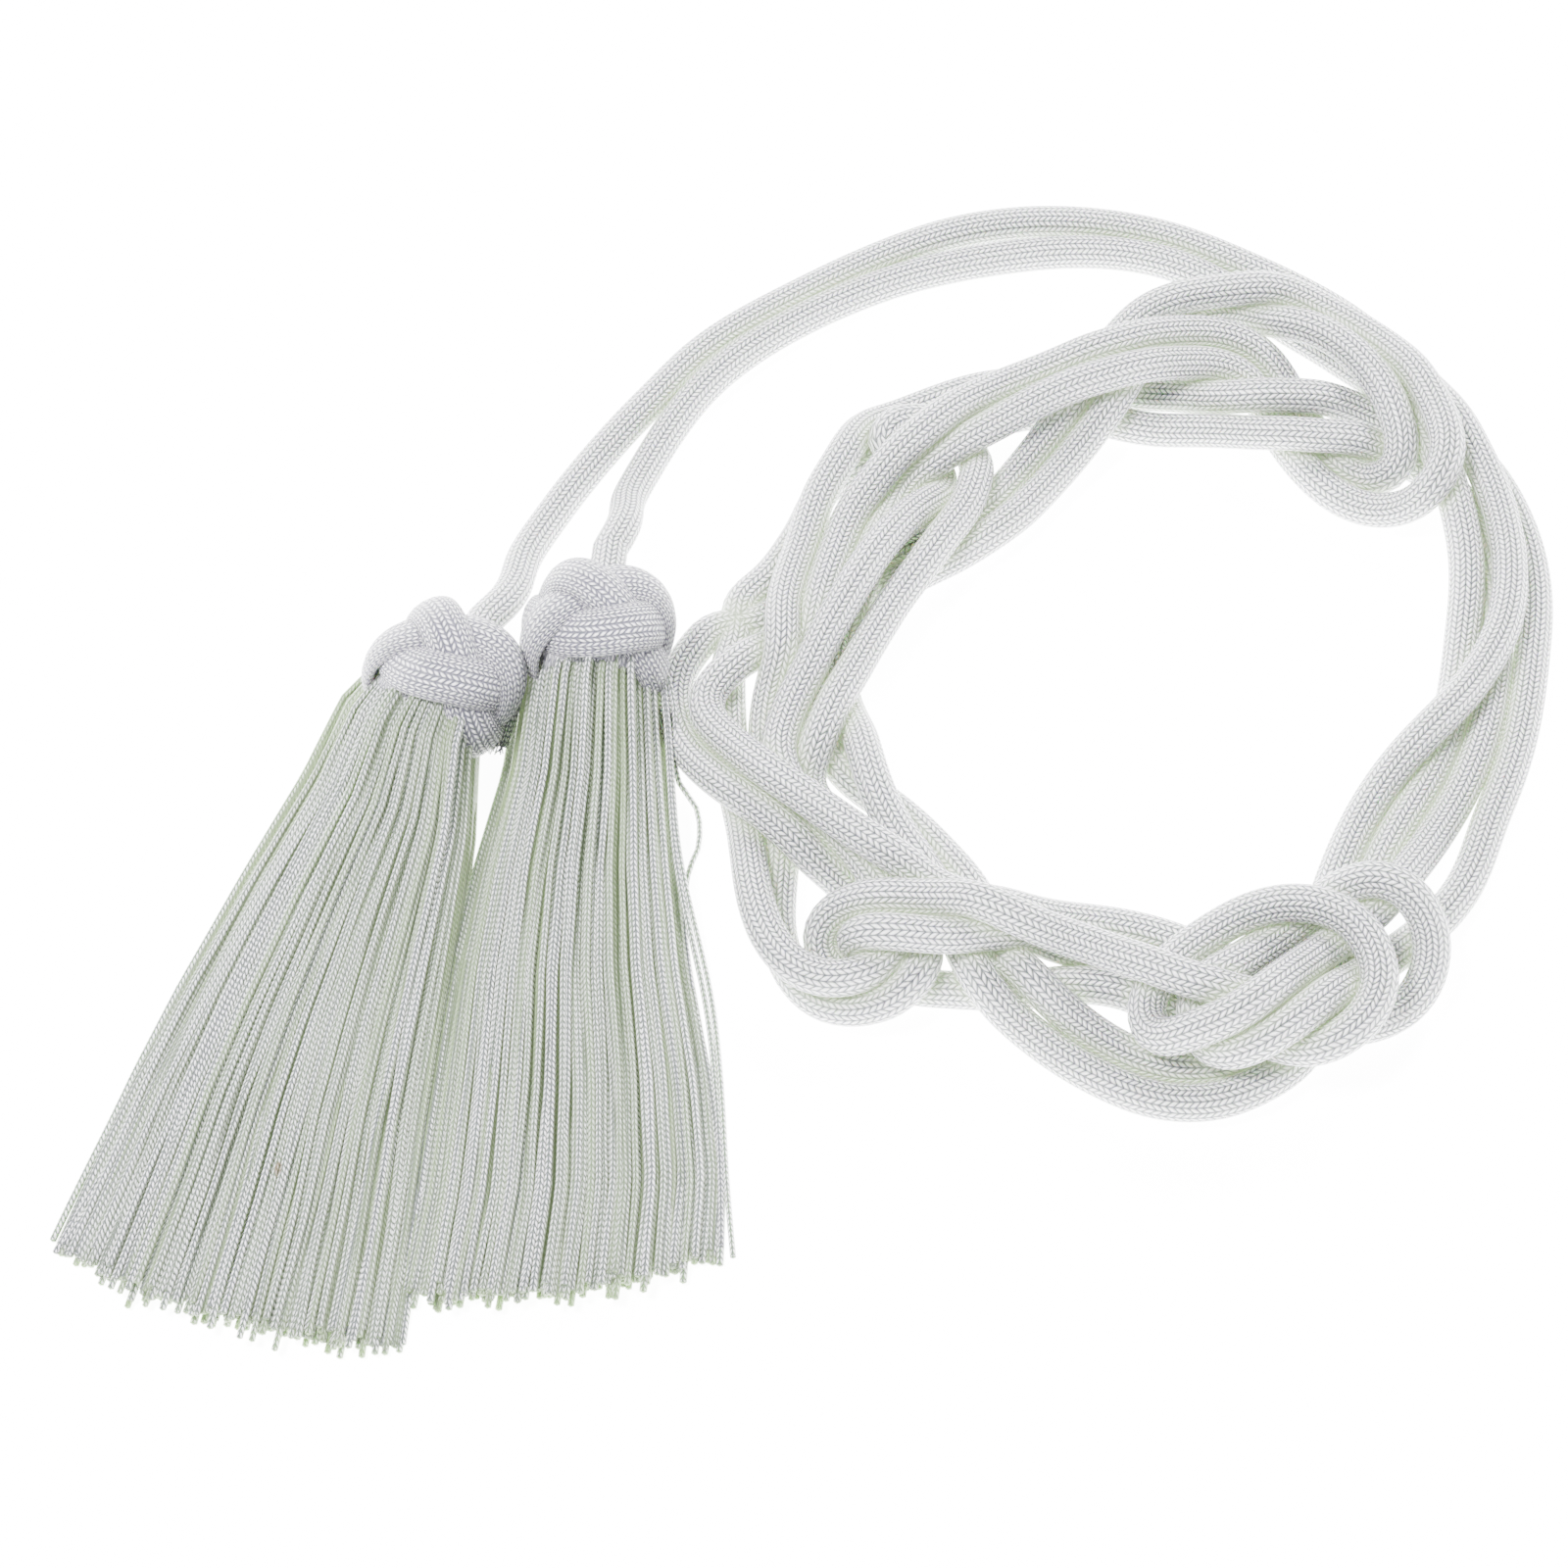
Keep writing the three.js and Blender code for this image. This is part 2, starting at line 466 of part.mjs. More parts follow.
for (const knot of KNOTS) {
  const frame = knotFrame(knot);
  const [x, y, layer] = ends[knot.side];
  frames[knot.side] = frame;
  const leadEnd = seenAt(x, y, CORD_DIAMETER / 2 + layer * CORD_DIAMETER);
  addPiece(`knot_${knot.side}`, toGeometry(knotSolid(frame, leadEnd)), bandCotton);
  addPiece(`skirt_${knot.side}`, toGeometry(skirtSolid(SKIRTS[knot.side], frame)), strandCotton);
}
addPiece("cord", cordGeometry(frames), cordCotton);

// The origin is under the middle of the whole, on the table
const box = new THREE.Box3().setFromObject(cincture);
const middle = box.getCenter(new THREE.Vector3());
for (const piece of cincture.children) piece.position.set(-middle.x, -middle.y, 0);

export default cincture;
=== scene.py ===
import math
import random

import bpy
import numpy as np
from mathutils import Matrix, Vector


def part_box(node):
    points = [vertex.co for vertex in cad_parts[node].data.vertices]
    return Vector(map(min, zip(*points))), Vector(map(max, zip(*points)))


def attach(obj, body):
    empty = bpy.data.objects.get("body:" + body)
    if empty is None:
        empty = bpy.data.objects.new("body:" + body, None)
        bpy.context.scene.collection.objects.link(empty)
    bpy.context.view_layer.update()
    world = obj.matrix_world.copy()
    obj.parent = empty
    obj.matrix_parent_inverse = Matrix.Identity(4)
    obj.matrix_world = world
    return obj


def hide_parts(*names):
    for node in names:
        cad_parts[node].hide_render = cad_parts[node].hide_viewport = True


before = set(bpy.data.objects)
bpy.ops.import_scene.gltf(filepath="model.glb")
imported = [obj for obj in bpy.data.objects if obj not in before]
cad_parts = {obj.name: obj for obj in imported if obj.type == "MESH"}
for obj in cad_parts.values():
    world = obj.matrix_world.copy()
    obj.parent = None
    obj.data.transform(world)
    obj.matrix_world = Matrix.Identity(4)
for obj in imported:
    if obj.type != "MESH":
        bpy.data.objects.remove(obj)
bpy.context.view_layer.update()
bpy.ops.object.select_all(action="DESELECT")

MM = 0.001

# The view that the cord was laid out from. VIEW_UNIT is the size of one unit of the drawing,
# in millimetres at its middle.
VIEW_UNIT = 0.2133
VIEW_MIDDLE = 800
VIEW_TILT = math.radians(60)
EYE_DISTANCE = 650
SENSOR = 36

# The cord, in millimetres
CORD_DIAMETER = 8
CORD_SIDES = 20
CORD_STEP = 2.1
CORD_PASSES = 2

# The knots' barrels, and how the cord's ends run into them
KNOT_RADIUS = 13.6
BARREL_REACH = 17.5
BARREL_ROUND = 0.82
SOCKET_REACH = 19.5
CLEARANCE = 0.3
LEAD_OUT = 12
END_DEPTH = 10

# The core of a knot. CORE_SHARE is its width beside the barrel's, and CAP_SHARE that of its first
# and last ring. CORE_MAP is how many millimetres across it take one turn of the stitches.
CORE_UP = 11.8
CORE_DOWN = 13.5
CORE_RINGS = 14
CORE_SIDES = 28
CORE_SHARE = 0.96
CAP_SHARE = 0.02
CORE_MAP = 26
# How far the core's colour goes to a paler one: painted light on a part that lies in the band's shade
CORE_PAINTED_LIGHT = 0.4

# The flat band woven round the core
BAND_WIDTH = 11
BAND_THICKNESS = 3.4
BAND_LIFT = 1.3
BAND_SWING = 7.7
LOWER_SWING = 0.95
BAND_SQUARENESS = 0.8
BAND_STEPS = 400
BAND_SIDES = 20
BIGHTS = 4
LEADS = 3
KNOT_RISE = KNOT_RADIUS + BAND_THICKNESS

# The cut end of the left knot's band, and the hairs that it frays into.
# HAIR_ROOT, HAIR_BEND and HAIR_LENGTH are places along a hair, in millimetres.
CUT_WIDTH = 0.8
CUT_STEP = 1.0
CUT_LEAN = -0.35
HAIRS = 46
HAIR_SEED = 11
HAIR_RADIUS = 0.16
HAIR_SIDES = 4
HAIR_ACROSS = 4
HAIR_HEIGHT = 1.2
HAIR_SPLAY = 0.6
HAIR_TILT = (-0.3, 0.2)
HAIR_ROOT = -1.0
HAIR_BEND = 0.3
HAIR_LENGTH = (1.0, 2.2)

# The strands of a skirt, in rows one above the other
STRAND_DIAMETER = 1.45
STRAND_SIDES = 8
STRAND_STEPS = 36
STRAND_SPACING = 4.2
STRAND_ROWS = 6
STRAND_COLUMNS = 50
STRAND_WIDTHS = (0.9, 1.08)
TWIST_START = (0, 3)

# Where a strand lies in its row. SUNK_STEP and SUNK_BY are millimetres that it lies lower, the first
# only as far as the skirt is narrower than SKIRT_SPREAD, and LEAST_BULGE keeps the edges from going flat.
STAGGER = 0.5
COLUMN_JITTER = (0.1, 0.7)
LAYER_JITTER = 0.06
TOP_INSET = 0.07
SUNK_STEP = 2.0
SUNK_BY = (0, 0, 0.6, 1.2)
SKIRT_SPREAD = 74
LEAST_BULGE = 0.05

# How a strand wanders, as shares of the skirt's width, length and thickness
NECK_SHARE = 0.25
SWAY = (0.001, 0.007)
SLOW_WAVE = 6
QUICK_WAVE = 19
QUICK_SHARE = 0.35
RISE = 0.06
RISE_WAVE = 5
DRIFT = 0.006
STEADY_SHARE = 0.88
STRAY = 0.05
CLUMPS = 26
CLUMP_PULL = 0.25
CLUMP_SPEED = 1.2
CLUMP_TURN = 0.9

# How a strand is coloured: by a random tone of its own, with painted shade for its depth in the skirt in
# shares of DEEPEST millimetres, and with painted shade on its underside
STRAND_TONES = (-0.15, -0.05, 0.15, 0.42)
DEEPEST = 5.5
DEEP_SHADE = 0.75
UNDER_SHADE = 0.6

# The skirts' hems, as shares of their length
SKIRT_SEED = 7
HEM_CURVE = 0.035
HEM_JITTER = 0.009
LONG_SHARE = 0.12
LONG_BY = (0, 0.03)

# The loose strands at the skirts' edges come down to the table within their first few places
LOOSE_WIDTH = 0.85
LOOSE_SPACING = 3.4
LOOSE_TOP = 14
LOOSE_LANDS = 3
LOOSE_HEIGHT = 1.2

# Stitches: how many columns go round a piece, and the length of one in millimetres.
# KNIT_WAVER is how unevenly the knitted ones follow each other, in stitches.
BRAID_COLUMNS = 20
BRAID_STITCH = 1.4
KNIT_COLUMNS = 34
KNIT_STITCH = 1.3
TWIST_COLUMNS = 4
TWIST_STITCH = 1.25
KNIT_WAVER = 0.7

# A small stain on the left skirt: its place on the drawing, and half its size in metres
STAIN_PLACE = (285, 1195, 6)
STAIN_SIZE = (0.0009, 0.0019)
STAIN_EDGE = 2.0
STAIN_STRENGTH = 0.75

# The crevices between strands and next to the table, which get a painted green glow for the table's light
# coming through. Within SAME_STRETCH diameters along the cord it is the same strand, and CREVICE_REACH is
# in radii past touching.
CREVICE_BATCH = 2000
SAME_STRETCH = 3
FAR_AWAY = 99
CREVICE_REACH = 0.9
CREVICE_FALL = 1.5
TABLE_REACH = 1.6

# How the cord settles
NODE_SPACING = 3.2
ROUNDS = 160
COOLING_FROM = 0.7
COOLED = 0.3
DROP = 0.1
PUSHES = 2
STIFFNESS = 0.35
HOLD = 0.1
NEIGHBOURS = 6
PINNED = 3
PAIR_REACH = 2
PAIR_ROUNDS = 10
SPLINE_PARTS = 12

# The cord's route from the left knot to the right one, listed along the cord:
# across and down on the drawing, and the layer that it starts in
ROUTE = [
    # lead from the left tassel
    (505, 628, 1.0), (522, 570, 0.6), (560, 508, 0.1), (605, 455, 0), (660, 400, 0), (735, 335, 0),
    (820, 290, 0), (880, 263, 0), (950, 240, 0), (1015, 229, 0), (1080, 226, 0), (1140, 231, 0),
    (1200, 245, 0), (1265, 270, 0),
    (1330, 300, 0.3), (1370, 322, 0.7), (1400, 345, 1), (1440, 378, 1), (1478, 420, 1), (1508, 465, 1),
    (1528, 510, 1), (1539, 560, 1), (1541, 600, 1), (1535, 640, 1.2), (1520, 670, 1.4), (1497, 705, 1.5),
    (1465, 740, 1.3), (1438, 770, 1), (1415, 800, 1), (1395, 830, 0.8), (1380, 860, 0.4), (1370, 890, 0),
    # hidden under the knot at the lower right, then out to the left along the bottom
    (1358, 925, 0), (1345, 965, 0), (1325, 1010, 0), (1295, 1055, 0), (1258, 1085, 0), (1220, 1096, 0),
    (1190, 1093, 0), (1160, 1082, 0), (1130, 1066, 0), (1100, 1045, 0), (1075, 1024, 0), (1050, 1000, 0),
    (1025, 972, 0),
    (997, 930, 0), (968, 888, 0), (935, 845, 0), (895, 815, 0), (858, 785, 0), (838, 750, 0),
    (826, 712, 0), (820, 672, 0.2), (826, 638, 0.6), (838, 600, 1), (855, 560, 1.3), (878, 512, 1.6),
    (905, 475, 2), (940, 446, 2), (980, 420, 2), (1030, 393, 2), (1080, 372, 2.2), (1130, 354, 2.4),
    (1170, 344, 2.4), (1215, 338, 2), (1255, 342, 1.6), (1285, 356, 1), (1303, 382, 0.6),
    (1316, 420, 0), (1342, 462, 0), (1378, 488, 0.6), (1408, 493, 1.2), (1430, 480, 1.7), (1436, 455, 2),
    (1430, 425, 2), (1415, 395, 2), (1388, 362, 2), (1350, 335, 2), (1300, 317, 1.6), (1250, 313, 1.2),
    (1205, 322, 1), (1175, 350, 1), (1152, 388, 1), (1130, 420, 1), (1110, 445, 1), (1085, 475, 0.9),
    (1060, 500, 0.6), (1028, 528, 0.2), (980, 558, 0),
    (930, 580, 0), (880, 602, 0), (830, 630, 0), (785, 655, 0), (750, 678, 0.2), (728, 697, 0.6),
    (716, 716, 1), (722, 738, 1.5), (745, 757, 1.9), (780, 782, 2), (820, 811, 2), (860, 840, 1.8),
    (900, 872, 1.2), (950, 908, 0.5),
    # there and back along the bottom, under the long upper strand
    (1010, 928, 0.2), (1090, 940, 0.2), (1150, 951, 0.1), (1200, 963, 0), (1250, 980, 0), (1290, 996, 0),
    (1316, 1018, 0), (1306, 1042, 0), (1270, 1046, 0), (1230, 1034, 0), (1190, 1014, 0), (1150, 1001, 0),
    (1100, 998, 0), (1050, 1001, 0), (1000, 1003, 0), (960, 1003, 0), (920, 1003, 0), (878, 994, 0),
    (845, 978, 0.3), (829, 956, 0.9), (840, 934, 1.5), (870, 921, 1.9),
    (920, 918, 2), (970, 922, 2), (1020, 935, 2), (1070, 950, 1.7), (1120, 966, 1.2), (1160, 981, 1),
    (1205, 998, 1), (1250, 1016, 0.9), (1290, 1032, 0.8), (1335, 1046, 0.7), (1385, 1050, 0.7),
    (1430, 1036, 0.8), (1456, 1008, 1), (1465, 975, 1.3), (1462, 938, 1.8), (1440, 908, 2),
    (1405, 893, 2), (1370, 903, 1.8), (1340, 925, 1), (1310, 950, 0.6), (1275, 975, 0.5),
    # a small bight of the lower right knot, then up the outer right side
    (1247, 1000, 0.7), (1228, 1030, 0.9), (1222, 1058, 1.3), (1240, 1078, 1.8), (1278, 1066, 2),
    (1328, 1038, 2), (1378, 1005, 1.6), (1425, 972, 1), (1468, 940, 0.8), (1498, 900, 0.5),
    (1514, 855, 0), (1526, 815, 0), (1538, 775, 0), (1547, 735, 0), (1556, 700, 0), (1564, 660, 0),
    (1567, 615, 0), (1560, 565, 0),
    (1540, 515, 0), (1510, 470, 0), (1465, 440, 0), (1410, 422, 0), (1375, 412, 0.4), (1330, 405, 1),
    (1280, 404, 1), (1230, 403, 0.8), (1190, 402, 0.4), (1150, 400, 0), (1090, 394, 0), (1030, 391, 0),
    (985, 399, 0), (940, 418, 0.1), (892, 446, 0.6), (860, 470, 0.9), (838, 497, 1), (826, 530, 1),
    (819, 570, 1), (812, 610, 0.9), (801, 650, 0.6), (789, 695, 0.2), (780, 740, 0), (778, 785, 0),
    (788, 830, 0), (795, 875, 0), (790, 915, 0), (790, 955, 0), (806, 992, 0.3), (845, 1023, 0.5),
    (888, 1016, 0.8), (922, 995, 1), (942, 965, 1), (940, 935, 1), (915, 900, 0.9), (875, 862, 0.8),
    (830, 824, 0.7), (812, 795, 0.8),
    # up the left side and round the small bight at the upper left
    (830, 768, 1), (842, 740, 1.2), (853, 715, 1.4), (868, 690, 1.6), (883, 660, 1.8), (905, 622, 2),
    (938, 580, 2), (968, 541, 1.9), (991, 508, 1.6), (1001, 480, 1.3), (990, 452, 1), (962, 432, 1),
    (925, 424, 1),
    (893, 436, 1), (886, 458, 1), (908, 467, 1), (938, 460, 1), (960, 470, 1.2), (958, 494, 1.6),
    (935, 515, 1.9), (908, 541, 2), (884, 575, 2), (857, 620, 2), (838, 650, 1.9), (823, 680, 1.7),
    (809, 710, 1.4), (799, 740, 1.1), (790, 770, 0.9), (800, 800, 0.8),
    (840, 840, 0.8), (890, 885, 0.9), (920, 925, 1), (922, 960, 1.2), (905, 992, 1.5), (875, 1006, 1.6),
    (838, 1004, 1.5), (802, 984, 1.3), (780, 950, 1.2), (770, 905, 1.1), (768, 860, 1), (762, 815, 0.6),
    (748, 765, 0),
    (742, 722, 0), (749, 680, 0), (762, 640, 0), (777, 608, 0), (800, 572, 0), (822, 540, 0),
    (834, 505, 0), (856, 478, 0), (895, 458, 0), (945, 446, 0), (1000, 434, 0), (1060, 418, 0),
    (1120, 428, 0), (1170, 440, 0.2), (1215, 438, 0.7), (1250, 439, 1), (1300, 443, 1), (1350, 447, 0.9),
    (1400, 456, 0.4),
    (1450, 475, 0), (1488, 510, 0), (1510, 560, 0), (1522, 610, 0), (1522, 660, 0), (1522, 710, 0),
    (1512, 752, 0), (1496, 790, 0), (1476, 825, 0), (1454, 857, 0.2), (1430, 892, 0.6), (1395, 935, 1.2),
    (1350, 970, 1.8), (1300, 1005, 2), (1250, 1036, 2), (1203, 1061, 2), (1178, 1064, 1.8),
    (1166, 1040, 1.2), (1172, 1008, 0.6), (1193, 980, 0.4),
    # the large bight of the lower right knot, then back along the bottom
    (1225, 957, 0.8), (1262, 934, 1.4), (1300, 921, 1.8), (1340, 919, 2.2), (1380, 935, 2.8),
    (1405, 965, 3), (1412, 1000, 2.6), (1400, 1034, 2), (1372, 1058, 1.4), (1335, 1068, 0.9),
    (1300, 1062, 0.5), (1262, 1044, 0.2), (1215, 1018, 0), (1160, 990, 0), (1110, 972, 0.3),
    (1060, 962, 0.8), (1000, 955, 1.6), (950, 952, 2), (900, 953, 2), (873, 958, 1.7), (862, 968, 1.2),
    (874, 984, 0.8), (900, 975, 0.6), (905, 945, 0.5), (885, 915, 0.8),
    # the bight at the far left, then up across the ring to its top
    (866, 893, 1.2), (835, 867, 1.8), (800, 843, 2), (762, 818, 2), (728, 793, 2), (702, 766, 1.7),
    (689, 738, 1.2), (686, 708, 0.8), (693, 680, 0.4), (710, 662, 0.1), (738, 650, 0), (780, 638, 0),
    (840, 612, 0), (900, 585, 0), (960, 550, 0), (1010, 518, 0.2), (1040, 485, 0.6), (1062, 455, 0.9),
    (1082, 428, 1), (1102, 398, 1), (1130, 358, 1), (1165, 322, 1), (1210, 303, 1.3),
    (1262, 297, 1.7), (1320, 306, 2), (1378, 330, 2), (1428, 365, 2), (1457, 398, 2), (1478, 440, 1.9),
    (1481, 478, 1.6), (1462, 508, 1.1), (1420, 524, 0.5), (1378, 516, 0.1), (1345, 485, 0),
    (1312, 442, 0), (1292, 405, 0), (1268, 378, 0.6), (1228, 368, 1.2), (1180, 370, 1.7), (1120, 384, 2),
    (1060, 405, 1.7), (1005, 432, 1.4), (960, 462, 1.2), (925, 500, 1), (898, 548, 0.6), (872, 598, 0.2),
    (855, 645, 0), (850, 690, 0),
    (862, 735, 0.2), (880, 775, 0.6), (905, 830, 1), (940, 890, 0.6), (965, 935, 0.3), (985, 975, 0.2),
    (1005, 1012, 0), (1040, 1046, 0), (1070, 1068, 0), (1105, 1091, 0), (1150, 1114, 0), (1195, 1126, 0),
    (1240, 1121, 0), (1275, 1103, 0), (1308, 1075, 0), (1342, 1035, 0), (1368, 985, 0), (1388, 930, 0),
    (1405, 885, 0.2), (1425, 848, 0.4), (1447, 810, 0.2), (1475, 772, 0.2),
    (1488, 720, 0), (1496, 670, 0), (1501, 620, 0), (1500, 570, 0), (1490, 525, 0.2), (1474, 480, 0.6),
    (1452, 430, 1), (1412, 398, 1), (1352, 356, 0.8), (1305, 330, 0.2), (1255, 296, 0), (1205, 270, 0),
    (1150, 258, 0), (1090, 256, 0), (1030, 262, 0), (975, 271, 0), (920, 284, 0), (860, 306, 0),
    (800, 332, 0), (748, 358, 0), (712, 385, 0), (682, 430, 0), (662, 475, 0.3), (648, 520, 0.8),
    (640, 565, 1.2),
]

# The knots: where the middle of each is seen, the place that its axis points to, how far it slides
# along that axis, the degrees that its band is turned, and the left one's cut end with its heights
KNOTS = {
    "left": {"across": 458, "down": 690, "towards": (312, 873), "slide": 1, "turn": 8,
             "loose_end": [(512, 690, 16), (512, 712, 13), (505, 735, 9), (498, 757, 6)]},
    "right": {"across": 613, "down": 622, "towards": (584, 848), "slide": 7, "turn": 4},
}

# Skirts, a row for each station from the knot to the tips:
# left edge, right edge, and thickness as a share of the thickness at the top
SKIRT_THICKNESS = 26
SKIRTS = {
    "left": [
        ((389, 673), (498, 708), 1.0),
        ((350, 711), (489, 770), 0.95),
        ((310, 790), (486, 861), 0.72),
        ((246, 893), (474, 955), 0.52),
        ((181, 1005), (460, 1060), 0.4),
        ((133, 1095), (446, 1160), 0.32),
        ((92, 1180), (434, 1270), 0.27),
        ((51, 1266), (420, 1371), 0.2),
    ],
    "right": [
        ((548, 632), (674, 632), 1.0),
        ((530, 690), (676, 690), 0.95),
        ((513, 790), (683, 785), 0.78),
        ((483, 890), (692, 880), 0.62),
        ((459, 990), (705, 985), 0.5),
        ((439, 1110), (727, 1100), 0.4),
        ((421, 1220), (739, 1200), 0.33),
        ((402, 1312), (735, 1277), 0.25),
    ],
}

# Single strands that hang loose at the outer edge of each skirt, as places on the drawing
LOOSE_STRANDS = {
    "left": [[(395, 700), (352, 760), (280, 900), (190, 1060), (110, 1190), (56, 1278)],
             [(400, 700), (360, 760), (290, 890), (200, 1050), (125, 1180), (66, 1270)],
             [(392, 705), (345, 775), (270, 900), (182, 1070), (118, 1180), (80, 1282)]],
    "right": [[(672, 660), (688, 720), (690, 790), (711, 826), (713, 862), (702, 892), (698, 940),
               (706, 1010)],
              [(672, 650), (682, 740), (693, 870), (724, 1010), (735, 1100), (741, 1200), (748, 1283)],
              [(670, 650), (680, 740), (690, 880), (719, 1020), (730, 1110), (735, 1200), (736, 1272)]],
}

# How far the two lead strands lie from their settled route:
# a place down the drawing, then the shift across and the shift down it
LEFT_SHIFTS = [(232, 0, 0), (250, 3, 6), (270, 5, 8), (330, 6, 9), (410, 7, 8), (442, 10, 7),
               (510, 18, 3), (550, 17, 0), (575, 10, 0), (605, -3, 0), (640, -8, 0)]
RIGHT_SHIFTS = [(325, 0, 0), (353, 5, 6), (386, 7, 9), (429, 8, 5), (456, 4, 1), (469, 0, 0),
                (496, -6, 0), (523, -21, 0), (563, -20, 0), (600, -20, 0)]
LEFT_REACH = 190
RIGHT_REACH = 110
SHIFT_PASSES = 60

FORWARD = np.array([0, math.cos(VIEW_TILT), -math.sin(VIEW_TILT)])
ACROSS = np.array([1.0, 0, 0])
UPWARD = np.array([0, math.sin(VIEW_TILT), math.cos(VIEW_TILT)])
EYE = FORWARD * -EYE_DISTANCE


# Places and lines
def unit(vector):
    return vector / np.linalg.norm(vector)


def seen_at(x, y, height):
    """The point at this height that is seen at a place on the drawing."""
    sight = FORWARD * EYE_DISTANCE + ACROSS * (x - VIEW_MIDDLE) * VIEW_UNIT
    sight = sight + UPWARD * (VIEW_MIDDLE - y) * VIEW_UNIT
    return EYE + sight * (height - EYE[2]) / sight[2]


def even_points(points, spacing):
    """Points a spacing apart on the curve through the given ones."""
    points = np.array(points)
    before = np.vstack([points[:1], points[:-2]])
    after = np.vstack([points[2:], points[-1:]])
    starts, ends = points[:-1], points[1:]
    t = (np.arange(SPLINE_PARTS) / SPLINE_PARTS)[None, :, None]
    a, b, c, d = (rows[:, None, :] for rows in (before, starts, ends, after))
    dense = 0.5 * (2 * b + (c - a) * t + (2 * a - 5 * b + 4 * c - d) * t ** 2
                   + (3 * b - a - 3 * c + d) * t ** 3)
    dense = np.vstack([dense.reshape(-1, 3), points[-1:]])
    steps = np.linalg.norm(np.diff(dense, axis=0), axis=1)
    length = np.concatenate([[0], np.cumsum(steps)])
    at = np.linspace(0, length[-1], int(round(length[-1] / spacing)) + 1)
    return np.stack([np.interp(at, length, dense[:, k]) for k in range(3)], axis=1)


def eased(line, passes):
    """The line, whose inner points go halfway to the middle of their neighbours in each pass."""
    for _ in range(passes):
        line[1:-1] += ((line[:-2] + line[2:]) / 2 - line[1:-1]) * 0.5
    return line


# How the cord lies
def close_pairs(nodes):
    """Pairs of nodes that may come to touch, leaving out neighbours along the cord."""
    gap = nodes[:, None, :] - nodes[None, :, :]
    near = (gap ** 2).sum(axis=2) < (PAIR_REACH * CORD_DIAMETER) ** 2
    first, second = np.nonzero(np.triu(near, NEIGHBOURS + 1))
    return first, second


def push_apart(nodes, first, second):
    """Moves the pairs that are nearer than the cord is wide away from each other."""
    gap = nodes[first] - nodes[second]
    distance = np.linalg.norm(gap, axis=1)
    touching = distance < CORD_DIAMETER
    first, second, gap, distance = first[touching], second[touching], gap[touching], distance[touching]
    push = gap * ((CORD_DIAMETER - distance) * 0.5 / distance)[:, None]
    moves = np.zeros_like(nodes)
    touches = np.zeros(len(nodes))
    np.add.at(moves, first, push)
    np.add.at(moves, second, -push)
    np.add.at(touches, first, 1)
    np.add.at(touches, second, 1)
    nodes += moves / np.maximum(1, touches * 0.5)[:, None]


def settle(nodes):
    """The strands sink, rest on each other and the table, and stay where they are seen."""
    home = nodes.copy()
    sight = home - EYE
    sight /= np.linalg.norm(sight, axis=1)[:, None]
    pinned = np.r_[0:PINNED, len(nodes) - PINNED:len(nodes)]
    for step in range(ROUNDS):
        if step % PAIR_ROUNDS == 0:
            first, second = close_pairs(nodes)
        nodes[:, 2] -= DROP * (1 if step < ROUNDS * COOLING_FROM else COOLED)
        for _ in range(PUSHES):
            push_apart(nodes, first, second)
        nodes[1:-1] += ((nodes[:-2] + nodes[2:]) * 0.5 - nodes[1:-1]) * STIFFNESS
        off = home - nodes
        off -= (off * sight).sum(axis=1)[:, None] * sight
        nodes += off * HOLD
        nodes[:, 2] = np.maximum(nodes[:, 2], CORD_DIAMETER / 2)
        nodes[pinned] = home[pinned]
    return nodes


def knot_middle(knot):
    return seen_at(knot["across"], knot["down"], KNOT_RISE)


def socket_mouth(knot, lead_end, further):
    """A point in front of the knot's socket, or further out towards its lead."""
    middle = knot_middle(knot)
    return middle + unit(lead_end - middle) * (SOCKET_REACH + CLEARANCE + further)


def knot_axes(knot):
    """The knot's middle, and its own directions: sideways, up and along its axis."""
    middle = knot_middle(knot)
    tip = seen_at(*knot["towards"], KNOT_RISE)
    axis = unit(tip - middle)
    side = unit(np.cross([0, 0, 1], axis))
    middle = middle + axis * knot["slide"]
    return middle, np.stack([side, np.cross(axis, side), axis])


def cord_path():
    """The settled route, from one socket to the other."""
    points = [seen_at(x, y, CORD_DIAMETER / 2 + layer * CORD_DIAMETER) for x, y, layer in ROUTE]
    first, last = points[0], points[-1]
    left, right = KNOTS["left"], KNOTS["right"]
    points = [socket_mouth(left, first, 0), socket_mouth(left, first, LEAD_OUT), *points[1:-1],
              socket_mouth(right, last, LEAD_OUT), socket_mouth(right, last, 0)]
    return settle(even_points(points, NODE_SPACING))


nodes = cord_path()
cord_low, cord_high = (np.array(corner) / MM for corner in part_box("cord"))
MIDDLE = (nodes.min(axis=0) + nodes.max(axis=0) - cord_low - cord_high) / 2
MIDDLE[2] = 0


def placed(points):
    """Millimetres of the drawing to metres of the part."""
    return (np.asarray(points, dtype=float) - MIDDLE) * MM


# Camera
camera_data = bpy.data.cameras.new("camera")
camera_data.sensor_width = SENSOR
camera_data.lens = SENSOR * EYE_DISTANCE / (2 * VIEW_MIDDLE * VIEW_UNIT)
camera = bpy.data.objects.new("camera", camera_data)
bpy.context.collection.objects.link(camera)
camera.location = placed(EYE)
camera.rotation_euler = (math.pi / 2 - VIEW_TILT, 0, 0)
bpy.context.scene.camera = camera


# Materials. The numbers are the inputs and the output of a Mix node that mixes colours.
MIX_SHARE, MIX_LOW, MIX_HIGH, MIX_RESULT = 0, 6, 7, 2
NOISE_DETAIL = 3
COTTON_LIGHT = {
    "Specular IOR Level": 0.6,
    "Sheen Weight": 0.2,
    "Sheen Roughness": 0.4,
    "Subsurface Weight": 0.22,
    "Subsurface Scale": 0.006,
    "Subsurface Radius": (0.75, 1.0, 0.55),
}

